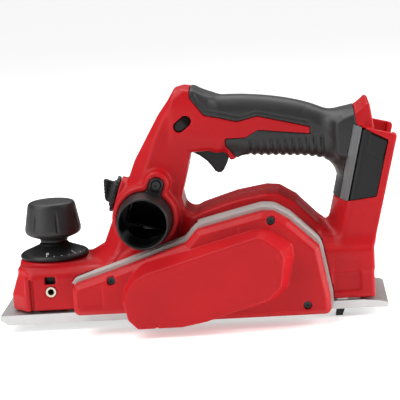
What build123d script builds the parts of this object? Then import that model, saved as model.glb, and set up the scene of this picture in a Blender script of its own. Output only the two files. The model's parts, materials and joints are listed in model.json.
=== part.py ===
from build123d import *
import os

# Cordless hand planer, in millimetres.
# +X runs from the front shoe to the rear, +Z is up and the belt cover is on the -Y side.
# The origin is on the rear shoe's sole, mid-width, halfway along the tool.

# ---- driving dimensions ----
CUT_WIDTH = 82.0
HALF_WIDTH = CUT_WIDTH / 2
TIP_RADIUS = 25.0
DRUM_RADIUS = 24.2
CHAMBER_BORE = 27.0
CHAMBER_OUTER = 29.5
BEARING_R = 11.0
BEARING_BOSS = 14.0
DRUM_X = -22.0
DRUM_Z = TIP_RADIUS
MOTOR_X = 56.0
MOTOR_Z = 48.0
VENT_PITCH = 9.0
RUN = 0.05
SKIN = 2.0
WALL = 3.0

FRONT_TIP_X = -152.0
REAR_TIP_X = 155.0
FRONT_SHOE_TOP = 7.8
REAR_SHOE_TOP = 6.4
BASE_BOTTOM = 10.0

BASE_HALF = 39.5
NOSE_TOP = 45.3
ARM_HALF = 21.0
HANDLE_HALF = 17.0
HOOK_HALF = 28.0
POST_HALF = 36.0
HUMP_LEFT = -26.0
HUMP_CROWN_RIGHT = 26.0
NOSE_CASE_BACK = -36.0
PORT_HALF = 37.0
RIGHT_WALL = 41.0

PLATE_BACK = -42.0
PLATE_FRONT = -50.0
COVER_FACE = -65.0
BULGE_FACE = -82.0
COVER_WALL = 2.5
CASE_MARGIN = 2.3
CASE_LEFT = -89.6
CASE_LEFT_TOP = 33.5

KNOB_X = -110.0
SPINDLE_R = 5.0
COLLAR_R = 8.0
STEM_R = 7.0
GUIDE_X = -124.0
SPRING_X = -96.0
GUIDE_Y = (-24.0, 24.0)
FENCE_X = -110.0
FENCE_Z = 25.0
INSERT_RADIUS = 4.2
INSERT_LENGTH = 12.0
SLOT_Z = 34.0
SLOT_HALF_X = 4.0
SLOT_HALF_Z = 2.8

PORT_X = -32.0
PORT_Z = 79.0
PORT_SOCKET = 18.5
PORT_INNER = 19.2
PORT_LIP = 20.2
PORT_OUTER = 21.6
SOCKET_DEPTH = 12.0
LEFT_MOUTH = 60.0
RIGHT_MOUTH = 50.0
DUCT_RADIUS = 20.5
SLEEVE_OUTER = 20.3
SLEEVE_END = 20.4
EAR_X = -21.3
EAR_Z = 105.6
EAR_RADIUS = 5.5
BAY_RADIUS = 20.2
SCOOP_OUTER = 19.5
SCOOP_INNER = 18.0

SELECTOR = Vector(-55.5, 0, 93.5)
SELECTOR_OUT = Vector(-0.947, 0, 0.321)

TRIGGER_X = 8.0
TRIGGER_Z = 131.5
LOCK_X = 1.0
LOCK_Z = 150.0
LOCK_TILT = 38.0
LOCK_HALF = 20.5
LOCK_SIZE = (15.0, 8.5)
LOCK_RECESS = (22.0, 15.0)

KICK_X = 119.0
KICK_Y = -33.0
KICK_Z = 4.0
KICK_SLOT = 4.3
KICK_EAR = 1.2

PULLEY_NEAR = -77.0
PULLEY_FAR = -65.5
SHAFT_END = -79.0
DRUM_PULLEY_R = 16.5
MOTOR_PULLEY_R = 11.0
SHAFT_R = 5.0
TAIL_R = 4.0
CAN_OUTER = 27.5
CAN_INNER = 25.2
FAN_BLADES = 11
ROTOR_SLOTS = 12
BELT_GAP = 0.3
BELT_THICKNESS = 2.1
CLAMP_SCREW_Y = (-28, 0, 28)

REAR_PLANE_LOW = (144.5, 42.0)
REAR_PLANE_HIGH = (168.0, 134.5)
REAR_SHOULDER_Z = 46.0
CHANNEL_HALF = 31.0
CHANNEL_MOUTH_HALF = 26.0
BAY_FOOT = 22.0

# (x, y) of the screws through the rear shoe; (x, z) of the others
SHOE_SCREWS = [(20, -20), (20, 30), (100, -20), (100, 30), (135, 14)]
COVER_SCREWS = [(-58.9, 36.8), (66.8, 77.4), (91.5, 9.8)]
HOUSING_SCREWS = [(1, 166), (-30, 124), (98, 140), (128, 128), (118, 60), (10, 72), (98, 16)]

COVER_OUTLINE = [
    (-90, 33.5, 5), (-62, 41.8), (-22, 55), (0, 62, 8), (9.5, 72.2, 8), (45, 80.5),
    (60, 83.8, 8), (69, 83.3, 12), (80, 76.5), (103, 54.3, 12), (109.6, 15), (110, 1.2, 7),
    (12, 1.2), (-50, 9.8), (-90, 9.8, 7),
]
BULGE_FOOT = [
    (-50.7, 21), (-48.5, 31), (-41, 43), (-32, 49), (50, 70.5), (60, 72), (66, 70),
    (82, 59), (83, 50), (77, 26), (65, 15.5), (14, 3), (-5, 1), (-40, 1), (-48, 8),
]
BULGE_TOP = [
    (-48.5, 22), (-46, 31), (-38.5, 40.5), (-30, 44.5), (50, 66.8), (56, 68.2), (61, 66.8),
    (73.5, 57), (75.6, 51), (72, 29), (62, 19.5), (14, 5), (-5, 1.6), (-39, 1.6), (-46, 9),
]
HUMP = [
    (-50, 38), (-3, 60), (4, 75.5), (12, 80), (40, 88.3), (64, 92), (74, 91),
    (87, 83), (107, 62), (112, 50), (112, 7.5), (-2, 7.5), (-50, 12),
]
HUMP_LOW = [
    (-2, 60), (6, 68), (14, 73), (40, 81), (64, 84), (72, 83), (83, 76.5), (101, 58), (106, 46),
    (106, 7.5), (-2, 7.5),
]
ARM = [
    (-88, 40), (-83, 45), (-79, 49.5), (-69, 54.5), (-60.5, 75), (-45.5, 107), (-39.5, 121.5),
    (-19.5, 155), (-8.5, 169.3), (2, 177), (11, 175.5), (24, 168), (30, 124), (20, 128), (6, 126.5),
    (3, 113), (-3, 92), (-1.5, 84), (3, 76), (-2, 60), (-20, 40),
]
POST = [
    (118, 118), (120.5, 101), (112, 67), (108, 62), (107, 50), (146.5, 50), REAR_PLANE_HIGH,
    (136, 143),
]
NOSE_CASE = [(-64, BASE_BOTTOM), (-64, 44), (-20, 60), (-2, 60), (-2, BASE_BOTTOM)]
THROAT = [(-50, 38), (-46, 68), (-20, 68), (-10, 50), (-20, 38)]
HOOK = [
    (122, 144), (127, 147.6), (136, 151), (145.5, 159.5), (148, 158), (150.5, 140), (140, 118),
    (122, 120),
]
GRIP_UPPER = [
    (8, 180), (8.3, 170), (18.5, 156), (44, 149), (60, 152.5), (101, 142), (101, 136),
    (60, 141), (50, 135.5), (34, 135.5), (34, 130), (42, 120), (42, 100), (114.5, 100),
    (113, 84.5), (121, 84.5), (134.6, 144), (135.5, 156), (120, 160), (60, 182),
]
HANDLE_STATIONS = [
    (-4, 132, 175), (25, 126.5, 169), (50, 121, 168), (76, 119, 164.4),
    (100, 117, 158), (118, 113, 150.5), (132, 108, 149.5),
]

pieces = {}


# ---- building helpers ----
def outline(points):
    """A closed face on XZ from (x, z) or (x, z, corner radius) points."""
    radii = [p[2] if len(p) > 2 else 0 for p in points]
    flat = [(p[0], p[1]) for p in points]
    return make_face(FilletPolyline(*flat, radius=radii, close=True))


def prism(face, y_near, y_far):
    """An XZ face extruded from y_near to y_far."""
    return extrude(Plane.XZ.offset(-y_far) * face, y_far - y_near)


def slab(points, y_near, y_far):
    """An XZ outline extruded from y_near to y_far."""
    return prism(outline(points), y_near, y_far)


def block(x0, x1, y0, y1, z0, z1):
    """A box between two corners."""
    return Pos((x0 + x1) / 2, (y0 + y1) / 2, (z0 + z1) / 2) * Box(x1 - x0, y1 - y0, z1 - z0)


def disc_y(x, z, radius, y0, y1):
    """A cylinder along Y."""
    return Pos(x, (y0 + y1) / 2, z) * Rot(90, 0, 0) * Cylinder(radius, y1 - y0)


def ring_y(x, z, outer, inner, y0, y1):
    """A tube along Y."""
    return disc_y(x, z, outer, y0, y1) - disc_y(x, z, inner, y0 - 1, y1 + 1)


def rod_z(x, y, radius, z0, z1):
    """A cylinder along Z."""
    return Pos(x, y, (z0 + z1) / 2) * Cylinder(radius, z1 - z0)


def mirrored(shape):
    """The shape on the other side of the tool."""
    return mirror(shape, Plane.XZ)


def both_sides(shape):
    """A shape and its mirror image."""
    return shape + mirrored(shape)


def ruled_y(near_points, y_near, far_points, y_far):
    """A straight-sided loft between two XZ outlines with the same number of points."""
    near = Plane.XZ.offset(-y_near) * Polygon(*near_points, align=None)
    far = Plane.XZ.offset(-y_far) * Polygon(*far_points, align=None)
    return loft([near.face(), far.face()], ruled=True)


def capsule(x0, z0, x1, z1, radius0, radius1):
    """The XZ outline of a belt run round two pulleys."""
    circles = Pos(x0, z0) * Circle(radius0) + Pos(x1, z1) * Circle(radius1)
    return make_hull(circles.edges())


def coil(x, y, z0, z1, radius, wire, turns):
    """A compression spring standing along Z, as stacked rings joined by a thin core sleeve."""
    rings = [
        Pos(x, y, z0 + wire + (z1 - z0 - 2 * wire) * i / (turns - 1)) * Torus(radius, wire)
        for i in range(turns)
    ]
    sleeve = rod_z(x, y, radius + wire / 2, z0, z1) - rod_z(x, y, radius - wire / 2, z0 - 1, z1 + 1)
    return sleeve.fuse(*rings)


def save(name, shape):
    """Keep a node under its name."""
    pieces[name] = shape


# ---- housing ----
def front_base():
    """The red nose: bumper corners below, sloping shoulder above."""
    def plan(z, nose, corner, side, back):
        points = [
            (nose, -corner), (nose + 12, -side), (back, -side),
            (back, side), (nose + 12, side), (nose, corner),
        ]
        return Pos(0, 0, z) * Polygon(*points, align=None)

    levels = [
        (BASE_BOTTOM, -143.2, 26, BASE_HALF), (22, -143.2, 26, BASE_HALF),
        (38, -137.5, 26, BASE_HALF), (NOSE_TOP, -137.5, 20, 32),
    ]
    plans = [plan(*level, -62).face() for level in levels]
    lower, middle, upper = [loft(list(pair), ruled=True) for pair in zip(plans[:-1], plans[1:])]
    groove = both_sides(block(-126.5, -124.5, -BASE_HALF - 1, -BASE_HALF + 1.2, BASE_BOTTOM - 1, 34))
    return lower + middle + upper - groove


def rear_base():
    """The housing's foot behind the motor, stepping in at the shoulder."""
    lower = slab([(104, 7.5), (144.5, 7.5, 1), (145, 46), (104, 47)], -40.5, 40.5)
    lower = fillet(lower.edges().filter_by(Axis.Z).sort_by(Axis.X)[-2:], 4)
    shoulder = loft([
        (Plane.XY.offset(REAR_SHOULDER_Z) * Pos(124.5, 0) * Rectangle(41, 81)).face(),
        (Plane.XY.offset(54) * Pos(126, 0) * Rectangle(38, 70)).face(),
    ], ruled=True)
    return lower + shoulder


def handle_bar(inset):
    """The rounded handle, shrunk by inset on every side."""
    sections = [
        Plane.YZ.offset(x) * Pos(0, (low + high) / 2)
        * RectangleRounded(2 * (HANDLE_HALF - inset), high - low - 2 * inset, 14 - inset)
        for x, low, high in HANDLE_STATIONS
    ]
    return loft([s.face() for s in sections], ruled=False)


def post_block(inset):
    """The post that carries the battery, shrunk by inset on every side."""
    face = outline(POST)
    if inset:
        face = offset(face, -inset, kind=Kind.INTERSECTION)
    return prism(face, -POST_HALF + inset, POST_HALF - inset)


def rear_band(start, end, inner, outer, y_near, y_far):
    """A slab lying along the post's rear plane, from start to end up it, between two depths."""
    low, high = Vector(*REAR_PLANE_LOW), Vector(*REAR_PLANE_HIGH)
    along = (high - low).normalized()
    out = Vector(along.Y, -along.X)
    foot, head = low + along * start, low + along * end
    corners = [foot + out * outer, head + out * outer, head + out * inner, foot + out * inner]
    return slab([(c.X, c.Y) for c in corners], y_near, y_far)


def receptacle_cut():
    """The battery's T-shaped channel: open at the rear and at the top."""
    top = (Vector(*REAR_PLANE_HIGH) - Vector(*REAR_PLANE_LOW)).length + 30
    rails = rear_band(BAY_FOOT, top, -18, -4, -CHANNEL_HALF, CHANNEL_HALF)
    return rails + rear_band(BAY_FOOT, top, -4.01, 4, -CHANNEL_MOUTH_HALF, CHANNEL_MOUTH_HALF)


def selector_axis_plane(distance):
    """A plane square to the selector's axis."""
    return Plane(origin=SELECTOR + SELECTOR_OUT * distance, x_dir=(0, 1, 0), z_dir=SELECTOR_OUT)


def selector_cylinder(radius, start, end):
    """A cylinder on the selector's axis, from start to end along the outward direction."""
    return extrude(selector_axis_plane(start) * Circle(radius), end - start)


def port_boss_outline(extra):
    """The port's ring with a narrow tab for its screw."""
    ring = Pos(PORT_X, PORT_Z) * Circle(PORT_OUTER + extra)
    tab = make_hull([*(Pos(EAR_X, EAR_Z) * Circle(EAR_RADIUS + extra)).edges(),
                     *(Pos(PORT_X + 5, PORT_Z + 12) * Circle(EAR_RADIUS + extra)).edges()])
    return ring + tab


def outer_body():
    """The housing's outside as one solid."""
    body = front_base() + rear_base() + slab(ARM, -ARM_HALF, ARM_HALF)
    body += slab(HUMP, HUMP_LEFT, HUMP_CROWN_RIGHT) + slab(HUMP_LOW, HUMP_LEFT, RIGHT_WALL)
    body += slab(NOSE_CASE, NOSE_CASE_BACK, RIGHT_WALL)
    body += handle_bar(0) + post_block(0) + slab(HOOK, -HOOK_HALF, HOOK_HALF)
    body += prism(port_boss_outline(4.5), -PORT_HALF, PORT_HALF)
    body += selector_cylinder(15.5, -18, 0)
    return body


def cavities():
    """Everything hollow inside the two shells."""
    around = CHAMBER_OUTER + 0.3
    cut = disc_y(DRUM_X, DRUM_Z, around, -60, 45)
    cut += block(DRUM_X - around, DRUM_X + around, -60, 45, -5, DRUM_Z)
    cut += slab(THROAT, -20, 20)
    cut += disc_y(MOTOR_X, MOTOR_Z, 31, -60, RIGHT_WALL - WALL)
    cut += slab([(18, 62), (20, 77), (62, 88.5), (74, 87.5), (90, 72), (92, 20), (20, 20)], -23, 22)
    cut += slab([(-128, 6), (-128, 38.5), (-88, 38.5), (-70, 35), (-70, 6)], -31, 31)
    cut += block(104, 138, -35, 35, 4, 42)
    cut += slab([(16, 133), (20, 162), (52, 162), (90, 154), (92, 126), (50, 128)], -10, 10)
    cut += slab([(-6, 140), (-6, 160), (18, 160), (18, 134)], -13, 13)
    cut += trigger_pocket()
    cut += both_sides(disc_y(PORT_X, PORT_Z, DUCT_RADIUS, -60, -12))
    cut += selector_cylinder(BAY_RADIUS, -45, -12)
    cut += selector_cylinder(4 + RUN, -12.2, 2)
    cut += receptacle_cut()
    return cut


def trigger_pocket():
    """Room for the trigger over its whole swing."""
    return slab([(1, 138), (34, 144), (40, 132), (41, 118), (20, 110), (1, 124)], -8.5, 8.5)


def fence_insert(radius, y_near, y_far):
    """A twelve-sided insert body along Y, so that it can't turn in its pocket."""
    return prism(Pos(FENCE_X, FENCE_Z) * RegularPolygon(radius, 12), y_near, y_far)


def fence_pockets():
    """The insert pockets and the slots above them, on both sides."""
    inserts = both_sides(fence_insert(INSERT_RADIUS, -BASE_HALF - 1, -BASE_HALF + INSERT_LENGTH))
    slots = both_sides(block(FENCE_X - SLOT_HALF_X, FENCE_X + SLOT_HALF_X, -BASE_HALF - 1, -BASE_HALF + 6,
                             SLOT_Z - SLOT_HALF_Z, SLOT_Z + SLOT_HALF_Z))
    return inserts + slots


def lock_slot(length, height, y_near, y_far):
    """A slot-shaped bar along Y at the lock-off button's place and tilt."""
    place = Pos(LOCK_X, LOCK_Z) * Rot(0, 0, LOCK_TILT)
    return prism(place * SlotOverall(length, height), y_near, y_far)


def side_strip_outline():
    """The dark strip between the grip and the side panel."""
    return outline([(120.6, 84), (127.3, 84), (141, 141), (134.6, 143.5)])


def side_panel_outline():
    """The panel on the post's side."""
    return outline([(127.3, 84), (149.6, 86.5, 2), (160.8, 130.5, 2), (141, 141)])


def vents():
    """Cooling slots in the right wall, beside the motor."""
    slots = []
    for i in range(5):
        face = Rot(0, 0, 90) * SlotOverall(34 - 2 * (i - 2) ** 2, 4)
        slots.append(prism(Pos(MOTOR_X + VENT_PITCH * (i - 2), MOTOR_Z) * face, 30, 60))
    return slots[0].fuse(*slots[1:])


def housing():
    """Both shells as one hollow body, before the soft skin and the split."""
    floor = block(-9, 113, HUMP_LEFT - 20, 60, 0, BASE_BOTTOM - 2.5)
    body = outer_body() - cavities() - floor
    case = prism(case_outline(), PLATE_FRONT - 1, HUMP_LEFT - 0.3)
    body -= case - block(-100, 9, NOSE_CASE_BACK, 0, 0, 100)
    body += both_sides(block(FENCE_X - 8, FENCE_X + 8, -BASE_HALF, -BASE_HALF + INSERT_LENGTH + 3,
                             BASE_BOTTOM, 41))
    body += rod_z(KNOB_X, 0, 15, 30, NOSE_TOP)
    for y in GUIDE_Y:
        body += rod_z(GUIDE_X, y, 8, 24, 42) + rod_z(SPRING_X, y, 8, 24, 42)
    body = body - fence_pockets() - vents()
    body -= rod_z(KNOB_X, 0, COLLAR_R + RUN, 20, 60)
    body -= rod_z(KNOB_X, 0, 12.5, 41.5, 60)
    for y in GUIDE_Y:
        body -= rod_z(GUIDE_X, y, 4 + RUN, 0, 38) + rod_z(SPRING_X, y, 5.2, 0, 36)
    body -= lock_slot(LOCK_SIZE[0] + 0.3, LOCK_SIZE[1] + 0.3, -40, 40)
    body -= both_sides(lock_slot(*LOCK_RECESS, -ARM_HALF - 1, -ARM_HALF + 1.2))
    body -= disc_y(TRIGGER_X, TRIGGER_Z, 2.0, -15, 15) + disc_y(TRIGGER_X, TRIGGER_Z, 5, 8, 14)
    body -= block(TRIGGER_X - 1, TRIGGER_X + 1, 8, 14, TRIGGER_Z, TRIGGER_Z + 9.5)
    body -= block(KICK_X - 6, KICK_X + 6, KICK_Y - 5.8, KICK_Y + 5.8, 6, 9)
    for x, y in SHOE_SCREWS:
        body -= rod_z(x, y, 2.2, 5, 17)
    body -= both_sides(prism(side_strip_outline(), -POST_HALF - 1, -POST_HALF + 1.6))
    body -= both_sides(prism(side_panel_outline(), -POST_HALF - 1, -POST_HALF + 3))
    body -= both_sides(prism(port_boss_outline(0.2), -PORT_HALF - 1, -PORT_HALF + 4))
    return body


def grips():
    """Soft skin round the handle and the front of the post, with ribs under the fingers."""
    skin = handle_bar(0) + post_block(0) + slab(HOOK, -HOOK_HALF, HOOK_HALF)
    skin = skin - handle_bar(SKIN) - post_block(SKIN)
    skin -= slab([(120, 118), (128, 146), (136, 151), (160, 170), (175, 60), (126, 60)],
                 -HOOK_HALF + SKIN, HOOK_HALF - SKIN)
    skin = skin & slab(GRIP_UPPER, -60, 60)
    behind = slab([(136, 84), (152, 150), (180, 160), (180, 60)], -60, 60)
    skin -= receptacle_cut() + trigger_pocket() + slab(ARM, -60, 60) + behind
    skin -= both_sides(prism(side_strip_outline(), -POST_HALF - 1, -POST_HALF + 1.6))
    ribs = [block(56 + 5.6 * i, 57.6 + 5.6 * i, -14, 14, 112, 118.6 - 0.035 * 5.6 * i) for i in range(9)]
    for rib in ribs:
        skin -= rib
    return skin


def biggest(shape):
    """The largest solid, without the slivers a cut leaves behind."""
    return sorted(shape.solids(), key=lambda s: s.volume)[-1]


def make_housing():
    """The two shells, their soft grips and the trim on the post."""
    skin = grips()
    body = housing() - skin
    left_half = block(-200, 200, -100, 0, -50, 250)
    right_half = block(-200, 200, 0, 100, -50, 250)
    save("left_shell", biggest(body & left_half))
    save("right_shell", biggest(body & right_half))
    save("left_grip", biggest(skin & left_half))
    save("right_grip", biggest(skin & right_half))
    strip = prism(side_strip_outline(), -POST_HALF - 0.3, -POST_HALF + 1.6)
    panel = prism(side_panel_outline(), -POST_HALF + 1.2, -POST_HALF + 3)
    raised = outline([(144, 121), (155, 113), (160, 130), (147.5, 136.5)])
    panel += prism(raised, -POST_HALF + 0.6, -POST_HALF + 3)
    save("side_strips", both_sides(strip))
    save("side_panels", both_sides(panel))


# ---- shoes and depth setting ----
def make_shoes():
    """The moving front shoe with its guides and springs, and the fixed rear shoe."""
    mouth = [(-36.5, 0), (-48, FRONT_SHOE_TOP)]
    front = slab([(FRONT_TIP_X, 4.2), (-145.5, 0), *mouth, (FRONT_TIP_X, FRONT_SHOE_TOP, 1)],
                 -HALF_WIDTH, HALF_WIDTH)
    groove = Plane.YZ.offset(FRONT_TIP_X - 1) * Polygon((-5, -0.01), (5, -0.01), (0, 5.2), align=None)
    front -= extrude(groove, 130)
    front += rod_z(KNOB_X, 0, 11, FRONT_SHOE_TOP - 1, 20)
    front -= rod_z(KNOB_X, 0, SPINDLE_R + RUN, 5.5, 21)
    for y in GUIDE_Y:
        front -= rod_z(GUIDE_X, y, 4, 4, 12)
        front += rod_z(SPRING_X, y, 6, FRONT_SHOE_TOP - 1, 12) - rod_z(SPRING_X, y, 3.6, 9, 13)
    save("front_shoe", front)
    posts = [rod_z(GUIDE_X, y, 4, 4, 34) for y in GUIDE_Y]
    save("guide_posts", posts[0] + posts[1])
    springs = [coil(SPRING_X, y, 12, 36, 4.2, 0.6, 8) for y in GUIDE_Y]
    save("shoe_springs", springs[0] + springs[1])

    rear = slab([(-12, 0), (REAR_TIP_X - 0.8, 0, 0.6), (REAR_TIP_X, 3.2, 1), (149, 4.9),
                 (135, REAR_SHOE_TOP), (0, REAR_SHOE_TOP)], -HALF_WIDTH, HALF_WIDTH)
    rear -= block(KICK_X - 8, KICK_X + 14, KICK_Y - KICK_SLOT, KICK_Y + KICK_SLOT, -1, 10)
    for y in (KICK_Y - KICK_SLOT - KICK_EAR, KICK_Y + KICK_SLOT):
        rear += block(KICK_X - 4, KICK_X + 4, y, y + KICK_EAR, REAR_SHOE_TOP - 0.5, 8.4)
    rear -= disc_y(KICK_X, KICK_Z, 1.5, KICK_Y - KICK_SLOT - KICK_EAR, KICK_Y + KICK_SLOT + KICK_EAR)
    for x, y in SHOE_SCREWS:
        rear -= rod_z(x, y, 2.2, -1, 10) + Pos(x, y, 1.5) * Cone(4.4, 2.2, 3.01)
    save("rear_shoe", rear)
    screws = [rod_z(x, y, 2.1, 2.9, 16) + Pos(x, y, 1.6) * Cone(4.2, 2.1, 2.8) for x, y in SHOE_SCREWS]
    save("shoe_screws", screws[0].fuse(*screws[1:]))


def make_depth_setting():
    """The scale disc, the knob and its spindle, and the fence inserts beside them."""
    profile = [
        (0, 46.3), (26.6, 46.3), (27.8, 47.3), (27.8, 48.6), (26.5, 50.2), (18, 53.6), (12, 56.2),
        (11, 58), (0, 58),
    ]
    disc = revolve(Plane.XZ * Polygon(*profile, align=None), Axis.Z)
    disc = Pos(KNOB_X, 0, 0) * (disc - rod_z(0, 0, STEM_R, 46, 59))
    save("scale_disc", disc)

    cap_profile = [
        (0, 58.2), (11, 58.2), (11.4, 61), (20, 64.6), (22.6, 67), (22.6, 69.5), (18.9, 88.5),
        (17.4, 90.6), (14.6, 91.2), (14.6, 90.4), (0, 90.4),
    ]
    cap = revolve(Plane.XZ * Polygon(*cap_profile, align=None), Axis.Z)
    flutes = [Rot(0, 0, 30 * i) * Pos(23.6, 0, 79) * Rot(0, -11, 0) * Box(3.6, 2.2, 22) for i in range(12)]
    for flute in flutes:
        cap -= flute
    cap -= rod_z(0, 0, STEM_R, 57, 80)
    save("depth_knob", Pos(KNOB_X, 0, 0) * cap)

    spindle = rod_z(KNOB_X, 0, SPINDLE_R, 9.5, 46) + rod_z(KNOB_X, 0, COLLAR_R, 26, 41.5)
    spindle += rod_z(KNOB_X, 0, STEM_R, 41.5, 80) + rod_z(KNOB_X, 0, 12, 42.8, 45.9)
    save("depth_spindle", spindle)
    save("detent_ring", rod_z(KNOB_X, 0, 12.4, 41.5, 42.6) - rod_z(KNOB_X, 0, COLLAR_R + 0.2, 41, 43))
    inserts = fence_insert(INSERT_RADIUS, -BASE_HALF - 0.4, -BASE_HALF + INSERT_LENGTH)
    inserts -= disc_y(FENCE_X, FENCE_Z, 2.5, -BASE_HALF - 1, 0)
    save("fence_inserts", both_sides(inserts))


# ---- cutter ----
def around_drum(shape, turn):
    """A shape turned about the drum's axis."""
    axis = Axis((DRUM_X, 0, DRUM_Z), (0, 1, 0))
    return shape.rotate(axis, turn)


def make_cutter():
    """The drum with its two blades, its shaft and bearings, and the chamber round it."""
    left_end, right_end = -HALF_WIDTH + 0.6, HALF_WIDTH - 0.6
    shaft = disc_y(DRUM_X, DRUM_Z, SHAFT_R, SHAFT_END, 49.2)
    save("drum_shaft", shaft + disc_y(DRUM_X, DRUM_Z, 8, left_end - 0.8, right_end + 0.8))
    slot = block(DRUM_X - 6, DRUM_X + 6, -50, 50, DRUM_Z + 12, DRUM_Z + 40)
    drum = disc_y(DRUM_X, DRUM_Z, DRUM_RADIUS, left_end, right_end) - disc_y(DRUM_X, DRUM_Z, 8, -50, 50)
    blade = block(DRUM_X + 4.4, DRUM_X + 6, left_end, right_end, DRUM_Z + 14, DRUM_Z + 24.25)
    seat = block(DRUM_X + 4.4, DRUM_X + 6, left_end, right_end, DRUM_Z + 11, DRUM_Z + 14)
    clamp = block(DRUM_X - 6, DRUM_X + 4.4, left_end, right_end, DRUM_Z + 12, DRUM_Z + 22)
    screw = [rod_z(DRUM_X - 1, y, 3, DRUM_Z + 12, DRUM_Z + 21.4) for y in CLAMP_SCREW_Y]
    for y in CLAMP_SCREW_Y:
        clamp -= rod_z(DRUM_X - 1, y, 3, DRUM_Z + 12, DRUM_Z + 26)
    blades, clamps, screws = [], [], []
    for turn in (20, 200):
        drum = drum - around_drum(slot, turn) + around_drum(seat, turn)
        blades.append(around_drum(blade, turn))
        clamps.append(around_drum(clamp, turn))
        screws += [around_drum(s, turn) for s in screw]
    save("cutter_drum", drum)
    save("blades", blades[0] + blades[1])
    save("blade_clamps", clamps[0] + clamps[1])
    save("clamp_screws", screws[0].fuse(*screws[1:]))
    bearings = ring_y(DRUM_X, DRUM_Z, BEARING_R, SHAFT_R, PLATE_FRONT + 1, PLATE_BACK - 1)
    bearings += ring_y(DRUM_X, DRUM_Z, BEARING_R, SHAFT_R, 43, 49)
    save("drum_bearings", bearings)
    save("drum_pulley", pulley(DRUM_X, DRUM_Z, DRUM_PULLEY_R))

    chamber = ring_y(DRUM_X, DRUM_Z, CHAMBER_OUTER, CHAMBER_BORE, PLATE_BACK, 45)
    chamber = chamber & block(DRUM_X - 40, DRUM_X + 40, -60, 60, 10.5, 90)
    chamber -= slab(THROAT, -20, 20)
    chamber += disc_y(DRUM_X, DRUM_Z, CHAMBER_OUTER, 41.8, 45) & block(-90, 90, 0, 60, 10.8, 90)
    chamber += disc_y(DRUM_X, DRUM_Z, BEARING_BOSS, 41.8, 50.6)
    chamber -= disc_y(DRUM_X, DRUM_Z, BEARING_R, 43, 49.6) + disc_y(DRUM_X, DRUM_Z, 9, 40, 44)
    save("drum_chamber", biggest(chamber - pieces["gear_case"]))


def pulley(x, z, radius):
    """A grooved pulley with a flange on its outer end."""
    body = ring_y(x, z, radius, SHAFT_R, PULLEY_NEAR, PULLEY_FAR)
    for i in range(4):
        y = PULLEY_NEAR + 1.6 + 2.6 * i
        body -= ring_y(x, z, radius + 1, radius - 1.1, y, y + 1.2)
    return body + ring_y(x, z, radius + 1.6, SHAFT_R, PULLEY_NEAR - 1, PULLEY_NEAR)


# ---- drive side ----
def cover_face_outline():
    """The cover's edge."""
    return outline(COVER_OUTLINE)


def case_outline():
    """A little larger than the cover, except at its left end."""
    left_end = Pos(CASE_LEFT - 10, CASE_LEFT_TOP - 25) * Rectangle(20, 50)
    return offset(cover_face_outline(), CASE_MARGIN, kind=Kind.INTERSECTION) - left_end


def make_drive_side():
    """The grey case, the cover bolted to it and the belt between them."""
    plate = prism(case_outline(), PLATE_FRONT, PLATE_BACK)
    rim = prism(case_outline(), PLATE_BACK - 1, HUMP_LEFT - 0.3)
    rim -= prism(offset(cover_face_outline(), -1.2, kind=Kind.INTERSECTION), -60, 0)
    rim = rim & slab([(9, 60), (60, 70), (100, 48), (100, 12), (130, 12), (130, 100), (9, 100)], -60, 0)
    nose_rim = prism(case_outline(), PLATE_BACK - 1, NOSE_CASE_BACK)
    nose_rim -= prism(offset(cover_face_outline(), -0.2, kind=Kind.INTERSECTION), -60, 0)
    nose_rim = nose_rim & slab([(-100, 30), (-62, 36), (9, 55), (9.01, 100), (-100, 100)], -60, 0)
    case = plate + rim + nose_rim
    case -= block(-130, 130, -45, 0, -5, 12)
    case -= block(-130, 130, -60, 0, -5, 2.5)
    for x, z in ((DRUM_X, DRUM_Z), (MOTOR_X, MOTOR_Z)):
        case -= disc_y(x, z, BEARING_R, PLATE_FRONT + 1, PLATE_BACK - 1)
        case -= disc_y(x, z, 9, PLATE_FRONT - 1, PLATE_BACK + 1)
    for x, z in COVER_SCREWS:
        case -= disc_y(x, z, 2, PLATE_FRONT - 1, PLATE_FRONT + 6)
    save("gear_case", biggest(case))

    skirt = prism(cover_face_outline(), COVER_FACE, PLATE_FRONT)
    near_edges = skirt.faces().sort_by(Axis.Y)[0].edges()
    skirt = chamfer(near_edges, 3.6)
    shell = skirt + ruled_y(BULGE_TOP, BULGE_FACE, BULGE_FOOT, COVER_FACE + 0.5)
    inside = offset(cover_face_outline(), -COVER_WALL - 1.6, kind=Kind.INTERSECTION)
    shell -= prism(inside, COVER_FACE + COVER_WALL, 0)
    hollow = capsule(DRUM_X, DRUM_Z, MOTOR_X - 1, MOTOR_Z, 20.5, 16.5)
    shell -= prism(hollow, BULGE_FACE + COVER_WALL, 0)
    shell -= slab([(-92, 16), (-73, 16), (-73, 34), (-92, 28)], COVER_FACE - 1, COVER_FACE + 0.8)
    shell -= slab([(28, 66), (42, 69), (41, 74), (28, 71)], COVER_FACE - 1, COVER_FACE + 0.4)
    for x, z in COVER_SCREWS:
        shell += disc_y(x, z, 4.6, COVER_FACE + 1, PLATE_FRONT)
        shell -= disc_y(x, z, 3.2, COVER_FACE - 1, COVER_FACE + 6)
        shell -= disc_y(x, z, 2, COVER_FACE, PLATE_FRONT + 1)
    save("belt_cover", biggest(shell))
    screws = []
    for x, z in COVER_SCREWS:
        head = disc_y(x, z, 3, COVER_FACE + 3, COVER_FACE + 6)
        head -= disc_y(x, z, 1.4, COVER_FACE + 2, COVER_FACE + 4.6)
        screws.append(head + disc_y(x, z, 2, COVER_FACE + 6, PLATE_FRONT + 6))
    save("cover_screws", screws[0].fuse(*screws[1:]))
    save("drive_belt", prism(belt_path(BELT_GAP + BELT_THICKNESS), PULLEY_NEAR + 0.4, PULLEY_FAR)
         - prism(belt_path(BELT_GAP), -90, -60))


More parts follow.
